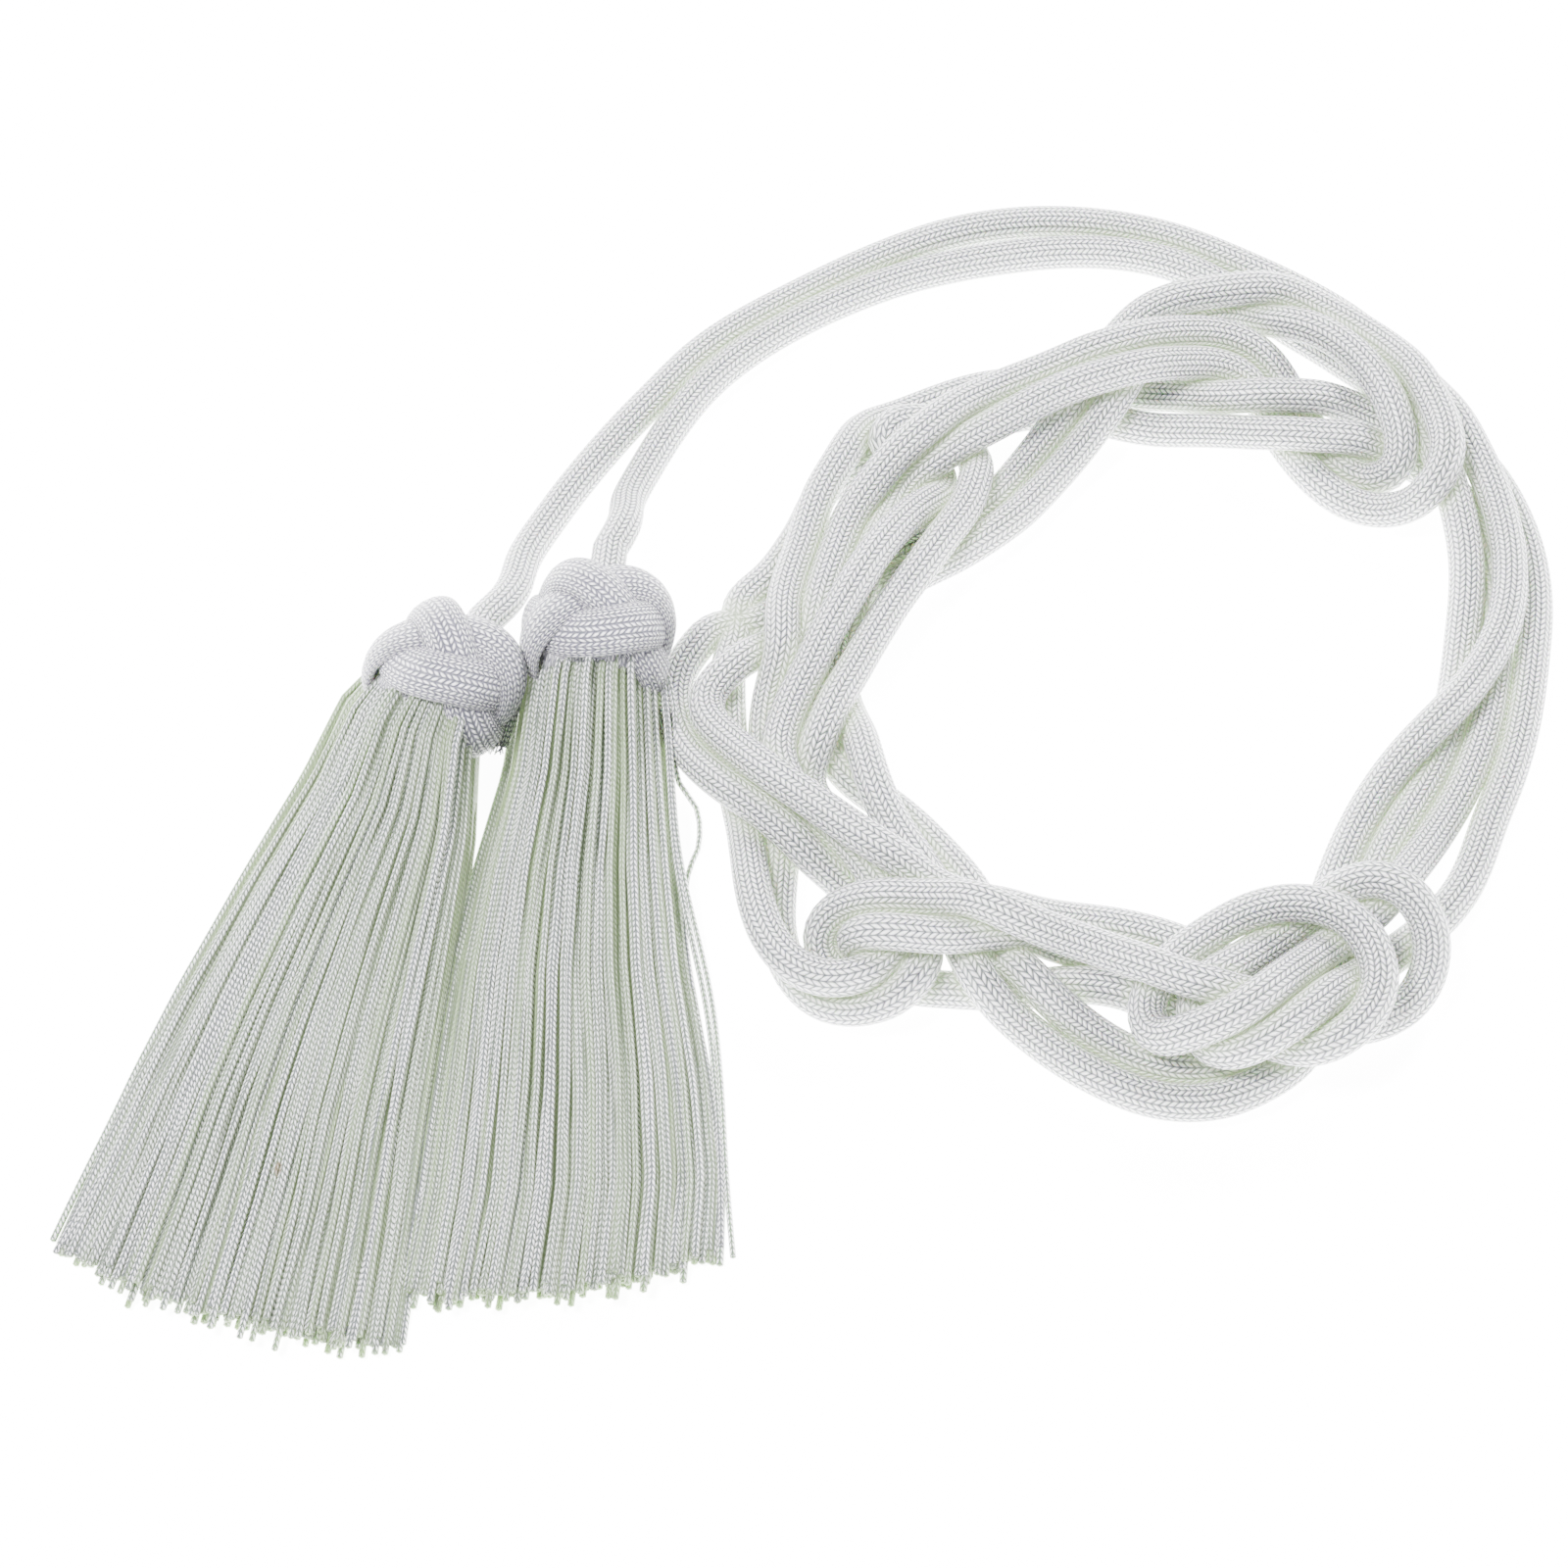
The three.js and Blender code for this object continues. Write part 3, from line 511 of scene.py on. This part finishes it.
BLACK = (0, 0, 0, 1)
# Painted highlight: near-white on the tops of the stitches of every finish
PAINTED_HIGHLIGHT = (1.0, 0.995, 1.0, 1)
# Painted green glow where strands touch each other or the table, in the colour and as emission, and the
# share of it that goes into the colour
PAINTED_GLOW = (0.60, 0.74, 0.44, 1)
PAINTED_GLOW_SHARE = 0.6
# Painted shade in the gaps between the cord's stitches
PAINTED_GAP_SHADE = (0.08, 0.09, 0.11, 1)
SHADE = (0.39, 0.43, 0.39, 1)
COTTON = (0.50, 0.51, 0.55, 1)
# Painted shade in the gaps between the twists of the skirts' strands
STRAND_PAINTED_GAP_SHADE = (0.09, 0.11, 0.09, 1)
STRAND_SHADE = (0.165, 0.19, 0.185, 1)
STRAND_COTTON = (0.27, 0.285, 0.34, 1)
# Painted shade: darker green for strands that lie deep in a skirt and for their undersides
STRAND_PAINTED_SHADE = (0.17, 0.26, 0.10, 1)
# Painted shade in the gaps between the knitted stitches
KNIT_PAINTED_GAP_SHADE = (0.085, 0.085, 0.12, 1)
KNIT = (0.20, 0.197, 0.25, 1)
# Painted light: the paler colour of the knot's core, which lies in shade
KNIT_CORE_PAINTED_LIGHT = (0.30, 0.30, 0.36, 1)
STAIN = (0.16, 0.09, 0.04, 1)


def operator(operation, swapped=False):
    """A Value's operator, which adds the Math node of that operation."""
    def apply(self, other):
        values = (other, self) if swapped else (self, other)
        return self.finish.maths(operation, *values)
    return apply


class Value:
    """A socket that adds Math nodes when it is used in sums."""

    def __init__(self, finish, socket):
        self.finish = finish
        self.socket = socket

    __add__ = operator("ADD")
    __radd__ = operator("ADD", swapped=True)
    __sub__ = operator("SUBTRACT")
    __rsub__ = operator("SUBTRACT", swapped=True)
    __mul__ = operator("MULTIPLY")
    __rmul__ = operator("MULTIPLY", swapped=True)
    __truediv__ = operator("DIVIDE")
    __pow__ = operator("POWER")


class Finish:
    """A material's node tree, with one method that adds any node."""

    def __init__(self, name):
        self.material = bpy.data.materials.new(name)
        self.material.use_nodes = True
        self.nodes = self.material.node_tree.nodes
        self.links = self.material.node_tree.links
        self.shader = self.nodes["Principled BSDF"]

    def link(self, value, socket):
        if isinstance(value, Value):
            self.links.new(value.socket, socket)
        else:
            socket.default_value = value

    def node(self, kind, settings=None, *values, out=0, **named):
        node = self.nodes.new(kind)
        for key, setting in (settings or {}).items():
            setattr(node, key, setting)
        for socket, value in zip(node.inputs, values):
            self.link(value, socket)
        for key, value in named.items():
            self.link(value, node.inputs[key])
        return Value(self, node.outputs[out])

    def mix(self, share, low, high):
        node = self.nodes.new("ShaderNodeMix")
        node.data_type = "RGBA"
        self.link(share, node.inputs[MIX_SHARE])
        self.link(low, node.inputs[MIX_LOW])
        self.link(high, node.inputs[MIX_HIGH])
        return Value(self, node.outputs[MIX_RESULT])

    def clamp(self, value):
        return self.node("ShaderNodeClamp", None, value)

    def maths(self, operation, *values):
        return self.node("ShaderNodeMath", {"operation": operation}, *values)

    def parts(self, vector):
        """The three numbers of a vector."""
        split = self.node("ShaderNodeSeparateXYZ", None, vector).socket.node
        return [Value(self, socket) for socket in split.outputs]

    def uv(self):
        return self.parts(self.node("ShaderNodeUVMap"))[:2]

    def place(self):
        return self.node("ShaderNodeTexCoord", out="Object")

    def attribute(self, name):
        return self.node("ShaderNodeAttribute", {"attribute_name": name}, out="Fac")

    def noise(self, scale):
        return self.node("ShaderNodeTexNoise", None, Vector=self.place(), Scale=scale, Detail=NOISE_DETAIL)

    def raised(self, height, gain, start=0.0, fuzz=0.0, fray=0.0):
        """Where stitches stand high. Gain sharpens the edge, start moves it up, fray roughens it."""
        return self.clamp(height * gain - start + fuzz * fray)

    def relief(self, height, fuzz, power, fray):
        """Stitches that are flatter on top the lower the power is, with fuzz on them."""
        return height ** power + fuzz * fray

    def complete(self, colour, relief, depth, roughness, glow, strength):
        """Joins the colour, the relief of that depth in metres, and the glow to the shader. The glow is
        painted light, not a lamp.
        """
        bump = self.node("ShaderNodeBump", None, Height=relief, Distance=depth, Strength=1.0)
        sockets = {"Base Color": colour, "Normal": bump, "Roughness": roughness,
                   "Emission Color": glow, "Emission Strength": strength, **COTTON_LIGHT}
        for name, value in sockets.items():
            self.link(value, self.shader.inputs[name])
        return self.material


def stitches(finish, across, along, lean):
    """Height of slanted stitches in columns that lean one way and then the other."""
    column = finish.maths("FLOOR", across)
    way = finish.maths("MODULO", column, 2.0) * 2.0 - 1.0
    x = finish.maths("FRACT", across) - 0.5
    y = finish.maths("FRACT", along + x * way * lean) - 0.5
    return finish.clamp((1.0 - (x * 2.0) ** 2.0) * (1.0 - (y * 2.0) ** 2.0))


def braid():
    """Bright stitches with darker gaps, both painted: highlights on the tops and shade in the gaps, and a
    painted green glow where the table's light comes through.
    """
    finish = Finish("braided_cotton")
    u, v = finish.uv()
    height = stitches(finish, u * BRAID_COLUMNS, v / BRAID_STITCH, lean=0.85)
    fuzz = finish.noise(scale=1800.0)
    cloud = finish.noise(scale=45.0)
    shade = finish.attribute("shade")
    colour = finish.mix(finish.raised(height, gain=2.4), PAINTED_GAP_SHADE, finish.mix(cloud, SHADE, COTTON))
    colour = finish.mix(finish.raised(height, gain=3.0, start=1.5, fuzz=fuzz, fray=0.9), colour, PAINTED_HIGHLIGHT)
    colour = finish.mix(shade * PAINTED_GLOW_SHARE, colour, PAINTED_GLOW)
    relief = finish.relief(height, fuzz, power=0.6, fray=0.2)
    return finish.complete(colour, relief, depth=0.0009, roughness=0.34,
                           glow=finish.mix(shade, BLACK, PAINTED_GLOW), strength=0.45)


def knit():
    """Small uneven stitches with painted highlights and gap shade, and painted light that makes them paler
    on the knot's core, which lies in shade under the band.
    """
    finish = Finish("knitted_band")
    u, v = finish.uv()
    fuzz = finish.noise(scale=1500.0)
    waver = finish.noise(scale=300.0) * KNIT_WAVER
    height = stitches(finish, u * KNIT_COLUMNS, v / KNIT_STITCH + waver, lean=0.8)
    shade = finish.attribute("shade")
    colour = finish.mix(finish.raised(height, gain=1.8, start=0.1, fuzz=fuzz, fray=0.5), KNIT_PAINTED_GAP_SHADE, KNIT)
    colour = finish.mix(finish.raised(height, gain=2.6, start=2.05, fuzz=fuzz, fray=1.6), colour, PAINTED_HIGHLIGHT)
    colour = finish.mix(shade, colour, KNIT_CORE_PAINTED_LIGHT)
    relief = finish.relief(height, fuzz, power=0.7, fray=0.6)
    return finish.complete(colour, relief, depth=0.0006, roughness=0.36,
                           glow=BLACK, strength=0.0)


def stain_mask(finish):
    """How strongly the stain shows: a soft oval round its place."""
    x, y, _ = finish.parts(finish.place())
    middle = placed(seen_at(*STAIN_PLACE))
    across = (x - float(middle[0])) / STAIN_SIZE[0]
    along = (y - float(middle[1])) / STAIN_SIZE[1]
    reach = across ** 2.0 + along ** 2.0
    return finish.clamp(STAIN_EDGE - reach * STAIN_EDGE) * STAIN_STRENGTH


def twist():
    """Thin twisted strands with painted shade, greener and darker the deeper they lie, painted highlights
    and gap shade, a painted glow where they lie deep, and the small stain.
    """
    finish = Finish("twisted_strands")
    u, v = finish.uv()
    height = stitches(finish, u * TWIST_COLUMNS, v / TWIST_STITCH, lean=0.9)
    tint = finish.noise(scale=90.0)
    fuzz = finish.noise(scale=2400.0)
    shade = finish.attribute("shade")
    body = finish.mix(tint, STRAND_SHADE, STRAND_COTTON)
    colour = finish.mix(finish.raised(height, gain=1.8), STRAND_PAINTED_GAP_SHADE, body)
    colour = finish.mix(finish.raised(height, gain=3.2, start=1.9, fuzz=fuzz, fray=1.0), colour, PAINTED_HIGHLIGHT)
    colour = finish.mix(shade, colour, STRAND_PAINTED_SHADE)
    colour = finish.mix(stain_mask(finish), colour, STAIN)
    relief = finish.relief(height, fuzz, power=0.7, fray=0.2)
    return finish.complete(colour, relief, depth=0.0005, roughness=0.34,
                           glow=finish.mix(shade, BLACK, PAINTED_GLOW), strength=0.22)


# Tubes. One that starts steeper than this measures its sides from across instead of from upright.
STEEP = 0.9


def carried_sides(path, start_side):
    """Directions across the path that turn with it and never twist."""
    ahead = np.gradient(path, axis=0)
    ahead /= np.linalg.norm(ahead, axis=1)[:, None]
    side = start_side - ahead[0] * (start_side @ ahead[0])
    sides = []
    for way in ahead:
        side = unit(side - way * (side @ way))
        sides.append(side)
    sides = np.array(sides)
    return sides, np.cross(ahead, sides)


class TubeMesh:
    """Tubes gathered into one mesh, with turns and millimetres as its map and a shade for each point."""

    def __init__(self):
        self.points = []
        self.faces = []
        self.maps = []
        self.shades = []

    def surface(self, rings, along, shade=0.0, closed=False, flat=None):
        """A skin over rings of points. In a closed one the last ring meets the first."""
        rings = np.array(rings)
        count, sides = rings.shape[:2]
        base = len(self.points)
        self.points.extend(rings.reshape(-1, 3))
        self.shades.extend([shade] * (count * sides))
        for i in range(count if closed else count - 1):
            row = base + i * sides
            after = base + (i + 1) % count * sides
            low, high = along[i], along[i + 1]
            for k in range(sides):
                n = (k + 1) % sides
                self.faces.append((row + k, row + n, after + n, after + k))
                left, right = k / sides, (k + 1) / sides
                if flat is None:
                    corners = ((left, low), (right, low), (right, high), (left, high))
                else:
                    corners = (flat[i][k], flat[i][n], flat[i + 1][n], flat[i + 1][k])
                self.maps.append(corners)
        return base

    def add(self, path, radius, sides, blunt=0.5, lead=0.0):
        """A tube along a path. Its ends are cones, blunt radii high, and its map starts at lead."""
        upright = abs(unit(path[1] - path[0])[2]) >= STEEP
        right, up = carried_sides(path, np.array([1.0, 0, 0] if upright else [0.0, 0, 1]))
        turns = (np.arange(sides) * 2 * math.pi / sides)[None, :, None]
        rings = right[:, None, :] * np.cos(turns) + up[:, None, :] * np.sin(turns)
        rings = path[:, None, :] + rings * radius
        steps = np.linalg.norm(np.diff(path, axis=0), axis=1)
        along = np.concatenate([[0], np.cumsum(steps)]) + lead
        base = self.surface(rings, along)
        last = len(path) - 1
        for tip, inner, row, turned in ((0, 1, base, True), (last, last - 1, base + last * sides, False)):
            centre = len(self.points)
            self.points.append(path[tip] + unit(path[tip] - path[inner]) * radius * blunt)
            self.shades.append(0.0)
            for k in range(sides):
                face = (row + k, row + (k + 1) % sides, centre)
                self.faces.append(face[::-1] if turned else face)
                self.maps.append(((0, along[tip]),) * 3)

    def build(self, name, material):
        """The gathered tubes as one smooth piece."""
        mesh = bpy.data.meshes.new(name)
        mesh.from_pydata([tuple(point) for point in placed(self.points)], [], self.faces)
        layer = mesh.uv_layers.new(name="map")
        layer.data.foreach_set("uv", [number for face in self.maps for pair in face for number in pair])
        shade = mesh.attributes.new("shade", "FLOAT", "POINT")
        shade.data.foreach_set("value", [float(s) for s in self.shades])
        mesh.polygons.foreach_set("use_smooth", [True] * len(mesh.polygons))
        mesh.materials.append(material)
        piece = bpy.data.objects.new(name, mesh)
        bpy.context.collection.objects.link(piece)
        return piece


def declare(piece, slot, *replaced):
    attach(piece, "root")
    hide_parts(*replaced)


# The cord
def crevices(points, line):
    """How near each point of the cord's skin is to another strand or the table: 1 where they touch."""
    radius = CORD_DIAMETER / 2
    owner = np.minimum(np.arange(len(points)) // CORD_SIDES, len(line) - 1)
    shades = np.zeros(len(points))
    places = np.arange(len(line))
    for start in range(0, len(points), CREVICE_BATCH):
        some = slice(start, start + CREVICE_BATCH)
        gap = np.linalg.norm(points[some, None, :] - line[None, :, :], axis=2)
        along = np.abs(owner[some, None] - places[None, :]) * CORD_STEP
        gap[along < SAME_STRETCH * CORD_DIAMETER] = FAR_AWAY
        shades[some] = 1 - (gap.min(axis=1) / radius - 1.0) / CREVICE_REACH
    shades = np.clip(shades, 0, 1)
    low = np.clip(1 - points[:, 2] / TABLE_REACH, 0, 1)
    return np.maximum(shades ** CREVICE_FALL, low)


def shift_lead(line, shifts, reach):
    """The line with its first stretch moved across and down the drawing."""
    count = int(reach / CORD_STEP)
    sight = line[:count] - EYE
    down = VIEW_MIDDLE - sight @ UPWARD / (sight @ FORWARD) * EYE_DISTANCE / VIEW_UNIT
    table = np.array(shifts, dtype=float)
    moves = np.stack([np.interp(down, table[:, 0], table[:, k]) for k in (1, 2)], axis=1)
    moves = eased(moves, SHIFT_PASSES)
    line = line.copy()
    line[:count, 0] += moves[:, 0] * VIEW_UNIT
    line[:count, 1] -= moves[:, 1] * VIEW_UNIT / math.sin(VIEW_TILT)
    return line


def run_in(end, knot):
    """Two points that carry the cord's end into its knot."""
    middle = knot_axes(knot)[0]
    depth = np.linalg.norm(end - middle) - END_DEPTH
    return end + unit(middle - end) * [[depth], [depth / 2]]


def laid_cord():
    """The cord's middle line, from deep in the left knot to deep in the right one."""
    line = eased(even_points(nodes, CORD_STEP), CORD_PASSES)
    line = shift_lead(line, LEFT_SHIFTS, LEFT_REACH)
    line = shift_lead(line[::-1], RIGHT_SHIFTS, RIGHT_REACH)[::-1]
    return np.vstack([run_in(line[0], KNOTS["left"]), line, run_in(line[-1], KNOTS["right"])[::-1]])


cord_line = laid_cord()
tube = TubeMesh()
tube.add(cord_line, CORD_DIAMETER / 2, CORD_SIDES, blunt=0)
# The shade value gives a painted green glow where the cord nears another strand or the table
tube.shades = crevices(np.array(tube.points), cord_line)
cord = tube.build("braided_cord", braid())
declare(cord, "braided_cotton", "cord")


# Knots
def barrel(turn, height):
    """A place on the knot's barrel, and the way out of it there."""
    share = height / BARREL_REACH
    radius = KNOT_RADIUS * math.sqrt(1 - BARREL_ROUND * share * share)
    way = np.array([math.cos(turn), math.sin(turn), 0])
    out = way * radius + np.array([0, 0, KNOT_RADIUS ** 2 * BARREL_ROUND * height / BARREL_REACH ** 2])
    return way * radius + np.array([0, 0, height]), unit(out)


def band_place(turn, start):
    """The band's middle after a turn, swinging along the barrel and going over and under itself."""
    wave = BIGHTS * turn / LEADS
    swing = BAND_SWING * math.cos(wave)
    spot, out = barrel(start - turn, swing if swing < 0 else swing * LOWER_SWING)
    return spot + out * (BAND_THICKNESS / 4 + BAND_LIFT * math.sin(2 * wave)), out


def band_ring(here, way, out, width):
    """A flat oval ring of points across the band, bent round the barrel."""
    side = unit(np.cross(out, way))
    laps = np.arange(BAND_SIDES) * 2 * math.pi / BAND_SIDES
    wide = np.sign(np.cos(laps)) * np.abs(np.cos(laps)) ** BAND_SQUARENESS * width / 2
    lift = np.sin(laps) * BAND_THICKNESS / 2 - wide ** 2 / (2 * (KNOT_RADIUS + BAND_THICKNESS))
    return here + side * wide[:, None] + out * lift[:, None]


def woven_band(tube, knot):
    """One closed band in three leads and four bights."""
    middle, axes = knot_axes(knot)
    whole = 2 * math.pi * LEADS
    start = math.radians(knot["turn"])
    rings, along = [], [0.0]
    for turn in np.arange(BAND_STEPS) * whole / BAND_STEPS:
        here, out = band_place(turn, start)
        ahead = band_place(turn + whole / BAND_STEPS, start)[0]
        rings.append(middle + band_ring(here, unit(ahead - here), out, BAND_WIDTH) @ axes)
        along.append(along[-1] + float(np.linalg.norm(ahead - here)))
    tube.surface(rings, along, closed=True)


def core(tube, knot):
    """The knitted barrel under the band, which closes at its first and last ring."""
    middle, axes = knot_axes(knot)
    heights = np.linspace(-CORE_UP, CORE_DOWN, CORE_RINGS)
    turns = np.linspace(0, 2 * math.pi, CORE_SIDES, endpoint=False)
    rings = []
    for k, height in enumerate(heights):
        spread = CORE_SHARE if 0 < k < CORE_RINGS - 1 else CAP_SHARE
        rings.append(np.array([barrel(turn, height)[0] * (spread, spread, 1) for turn in turns]))
    flat = [[(x / CORE_MAP, y) for x, y, _ in ring] for ring in rings]
    # Its shade value makes it paler: painted light
    tube.surface([middle + ring @ axes for ring in rings], heights, shade=CORE_PAINTED_LIGHT, flat=flat)


def cut_end(tube, spots):
    """The band's short loose end, with a frayed edge."""
    line = even_points([seen_at(x, y, height) for x, y, height in spots], CUT_STEP)
    ahead = np.gradient(line, axis=0)
    out = unit(np.array([0, CUT_LEAN, 1.0]))
    rings = []
    for here, way in zip(line, ahead):
        way = unit(way)
        rings.append(band_ring(here, way, unit(out - way * (out @ way)), BAND_WIDTH * CUT_WIDTH))
    tube.surface(rings, np.arange(len(line)) * CUT_STEP)
    chance = random.Random(HAIR_SEED)
    side = unit(np.cross([0, 0, 1], ahead[-1]))
    for _ in range(HAIRS):
        root = line[-1] + side * chance.uniform(-HAIR_ACROSS, HAIR_ACROSS)
        root = root + np.array([0, 0, chance.uniform(-HAIR_HEIGHT, HAIR_HEIGHT)])
        way = unit(ahead[-1]) + side * chance.uniform(-HAIR_SPLAY, HAIR_SPLAY)
        way = unit(way + np.array([0, 0, chance.uniform(*HAIR_TILT)]))
        hair = np.array([root + way * s for s in (HAIR_ROOT, HAIR_BEND, chance.uniform(*HAIR_LENGTH))])
        tube.add(hair, HAIR_RADIUS, HAIR_SIDES)


knitted = knit()
for side, knot in KNOTS.items():
    tube = TubeMesh()
    woven_band(tube, knot)
    core(tube, knot)
    if "loose_end" in knot:
        cut_end(tube, knot["loose_end"])
    declare(tube.build(f"woven_knot_{side}", knitted), "knitted_band", f"knot_{side}")


# Skirts
def skirt_point(rows, share, layer, t, sunk):
    """A place in the skirt, and how far it lies below the skirt's top there.

    It is given by its share across, its layer through the thickness, t along the length,
    and how far it sinks: where the skirt is narrow, and everywhere.
    """
    at = t * (len(rows) - 1)
    k = max(0, min(int(at), len(rows) - 2))
    f = at - k
    left = np.array(rows[k][0]) * (1 - f) + np.array(rows[k + 1][0]) * f
    right = np.array(rows[k][1]) * (1 - f) + np.array(rows[k + 1][1]) * f
    thick = SKIRT_THICKNESS * (rows[k][2] * (1 - f) + rows[k + 1][2] * f)
    bulge = math.sqrt(max(LEAST_BULGE, 1 - (2 * share - 1) ** 2))
    crowd = 1 - np.linalg.norm(right - left) * VIEW_UNIT / SKIRT_SPREAD
    radius = STRAND_DIAMETER / 2
    ground = (KNOT_RISE - KNOT_RADIUS * bulge) * max(0, 1 - t / NECK_SHARE)
    room = max(0, thick * bulge - 2 * radius)
    height = max(0, ground + layer * room - sunk[0] * max(0, crowd) - sunk[1])
    x, y = left + (right - left) * share
    return seen_at(x, y, radius + height), ground + room - height


def strand(tube, rows, chance, share, layer, sunk, end):
    """A strand that waves a little, is drawn into a clump and gets painted shade where it lies deep and on
    its underside.
    """
    # The fourth phase isn't used: it is drawn so that the draws after it stay as they are.
    phases = [chance.uniform(0, 2 * math.pi) for _ in range(4)]
    sway = chance.uniform(*SWAY)
    drift = chance.gauss(0, DRIFT) if chance.random() < STEADY_SHARE else chance.uniform(-STRAY, STRAY)
    clump = (math.floor(share * CLUMPS) + 0.5) / CLUMPS
    path, depths = [], []
    for i in range(STRAND_STEPS + 1):
        t = end * i / STRAND_STEPS
        free = min(1, t / NECK_SHARE)
        pull = CLUMP_PULL * math.sin(min(1, t * CLUMP_SPEED) * math.pi * CLUMP_TURN)
        wave = sway * math.sin(phases[0] + SLOW_WAVE * t)
        wave += QUICK_SHARE * sway * math.sin(phases[1] + QUICK_WAVE * t)
        here = share + (clump - share) * pull + (wave + drift * t) * free
        up = layer + RISE * math.sin(phases[2] + RISE_WAVE * t) * free
        point, depth = skirt_point(rows, here, up, t, sunk)
        path.append(point)
        depths.append(depth)
    path = even_points(path, STRAND_SPACING)
    depths = np.interp(np.linspace(0, 1, len(path)), np.linspace(0, 1, len(depths)), depths)
    first = len(tube.points)
    radius = STRAND_DIAMETER / 2 * chance.uniform(*STRAND_WIDTHS)
    tube.add(path, radius, STRAND_SIDES, lead=chance.uniform(*TWIST_START))
    tone = chance.choice(STRAND_TONES)
    # Painted shade for depth and for the underside, added to the strand's random tone
    for k in range(first, len(tube.points)):
        ring = min((k - first) // STRAND_SIDES, len(path) - 1)
        rise = (tube.points[k][2] - path[ring][2]) / (STRAND_DIAMETER / 2)
        deep = min(DEEP_SHADE, depths[ring] / DEEPEST)
        tube.shades[k] = min(1.0, max(0.0, tone + deep + UNDER_SHADE * (1 - rise)))


def skirt_mesh(side, rows, seed, material):
    """Rows of strands one above the other, each row a little narrower, and the loose ones at the edge."""
    chance = random.Random(seed)
    tube = TubeMesh()
    for row in range(STRAND_ROWS):
        layer = row / (STRAND_ROWS - 1)
        inset = TOP_INSET * layer
        for column in range(STRAND_COLUMNS):
            share = (column + STAGGER * (row % 2) + chance.uniform(*COLUMN_JITTER)) / STRAND_COLUMNS
            share = inset + (1 - 2 * inset) * share
            sunk = (SUNK_STEP * ((column + row) % 3), chance.choice(SUNK_BY))
            end = 1 + HEM_CURVE * 4 * share * (1 - share) + chance.gauss(0, HEM_JITTER)
            if chance.random() < LONG_SHARE:
                end += chance.uniform(*LONG_BY)
            height = layer + chance.uniform(-LAYER_JITTER, LAYER_JITTER)
            strand(tube, rows, chance, share, height, sunk, end)
    for line in LOOSE_STRANDS[side]:
        path = [seen_at(x, y, LOOSE_TOP * max(0, 1 - k / LOOSE_LANDS) + LOOSE_HEIGHT)
                for k, (x, y) in enumerate(line)]
        tube.add(even_points(path, LOOSE_SPACING), STRAND_DIAMETER / 2 * LOOSE_WIDTH, STRAND_SIDES)
    return tube.build(f"stranded_skirt_{side}", material)


twisted = twist()
for seed, (side, rows) in enumerate(SKIRTS.items(), start=SKIRT_SEED):
    declare(skirt_mesh(side, rows, seed, twisted), "twisted_strands", f"skirt_{side}")


# Table and light
TABLE_SIZE = 6
TABLE_WHITE = (0.96, 0.96, 0.96, 1)
TABLE_ROUGHNESS = 0.9
TABLE_GLOW = 12.0
STUDIO_WHITE = (0.97, 0.965, 1.0, 1)
STUDIO_STRENGTH = 1.0
LAMP_WHITE = (1.0, 0.985, 1.0)
LAMP_POWER = 48

table_finish = Finish("table_white")
for name, value in (("Base Color", TABLE_WHITE), ("Roughness", TABLE_ROUGHNESS),
                    ("Emission Color", (1, 1, 1, 1)), ("Emission Strength", TABLE_GLOW)):
    table_finish.link(value, table_finish.shader.inputs[name])

bpy.ops.mesh.primitive_plane_add(size=TABLE_SIZE, location=(0, 0, 0))
floor = bpy.context.object
floor.name = "table"
floor.data.materials.append(table_finish.material)

world = bpy.data.worlds.new("studio")
bpy.context.scene.world = world
world.use_nodes = True
background = world.node_tree.nodes["Background"]
background.inputs["Color"].default_value = STUDIO_WHITE
background.inputs["Strength"].default_value = STUDIO_STRENGTH


def lamp(name, place, size):
    """A square lamp that faces the middle of the table."""
    data = bpy.data.lights.new(name, "AREA")
    data.energy = LAMP_POWER
    data.size = size
    data.color = LAMP_WHITE
    light = bpy.data.objects.new(name, data)
    light.location = place
    light.rotation_euler = (-Vector(place)).to_track_quat("-Z", "Y").to_euler()
    bpy.context.collection.objects.link(light)


lamp("key", (-0.5, -0.1, 1.1), 0.3)
lamp("back", (0.5, 0.9, 0.8), 0.35)
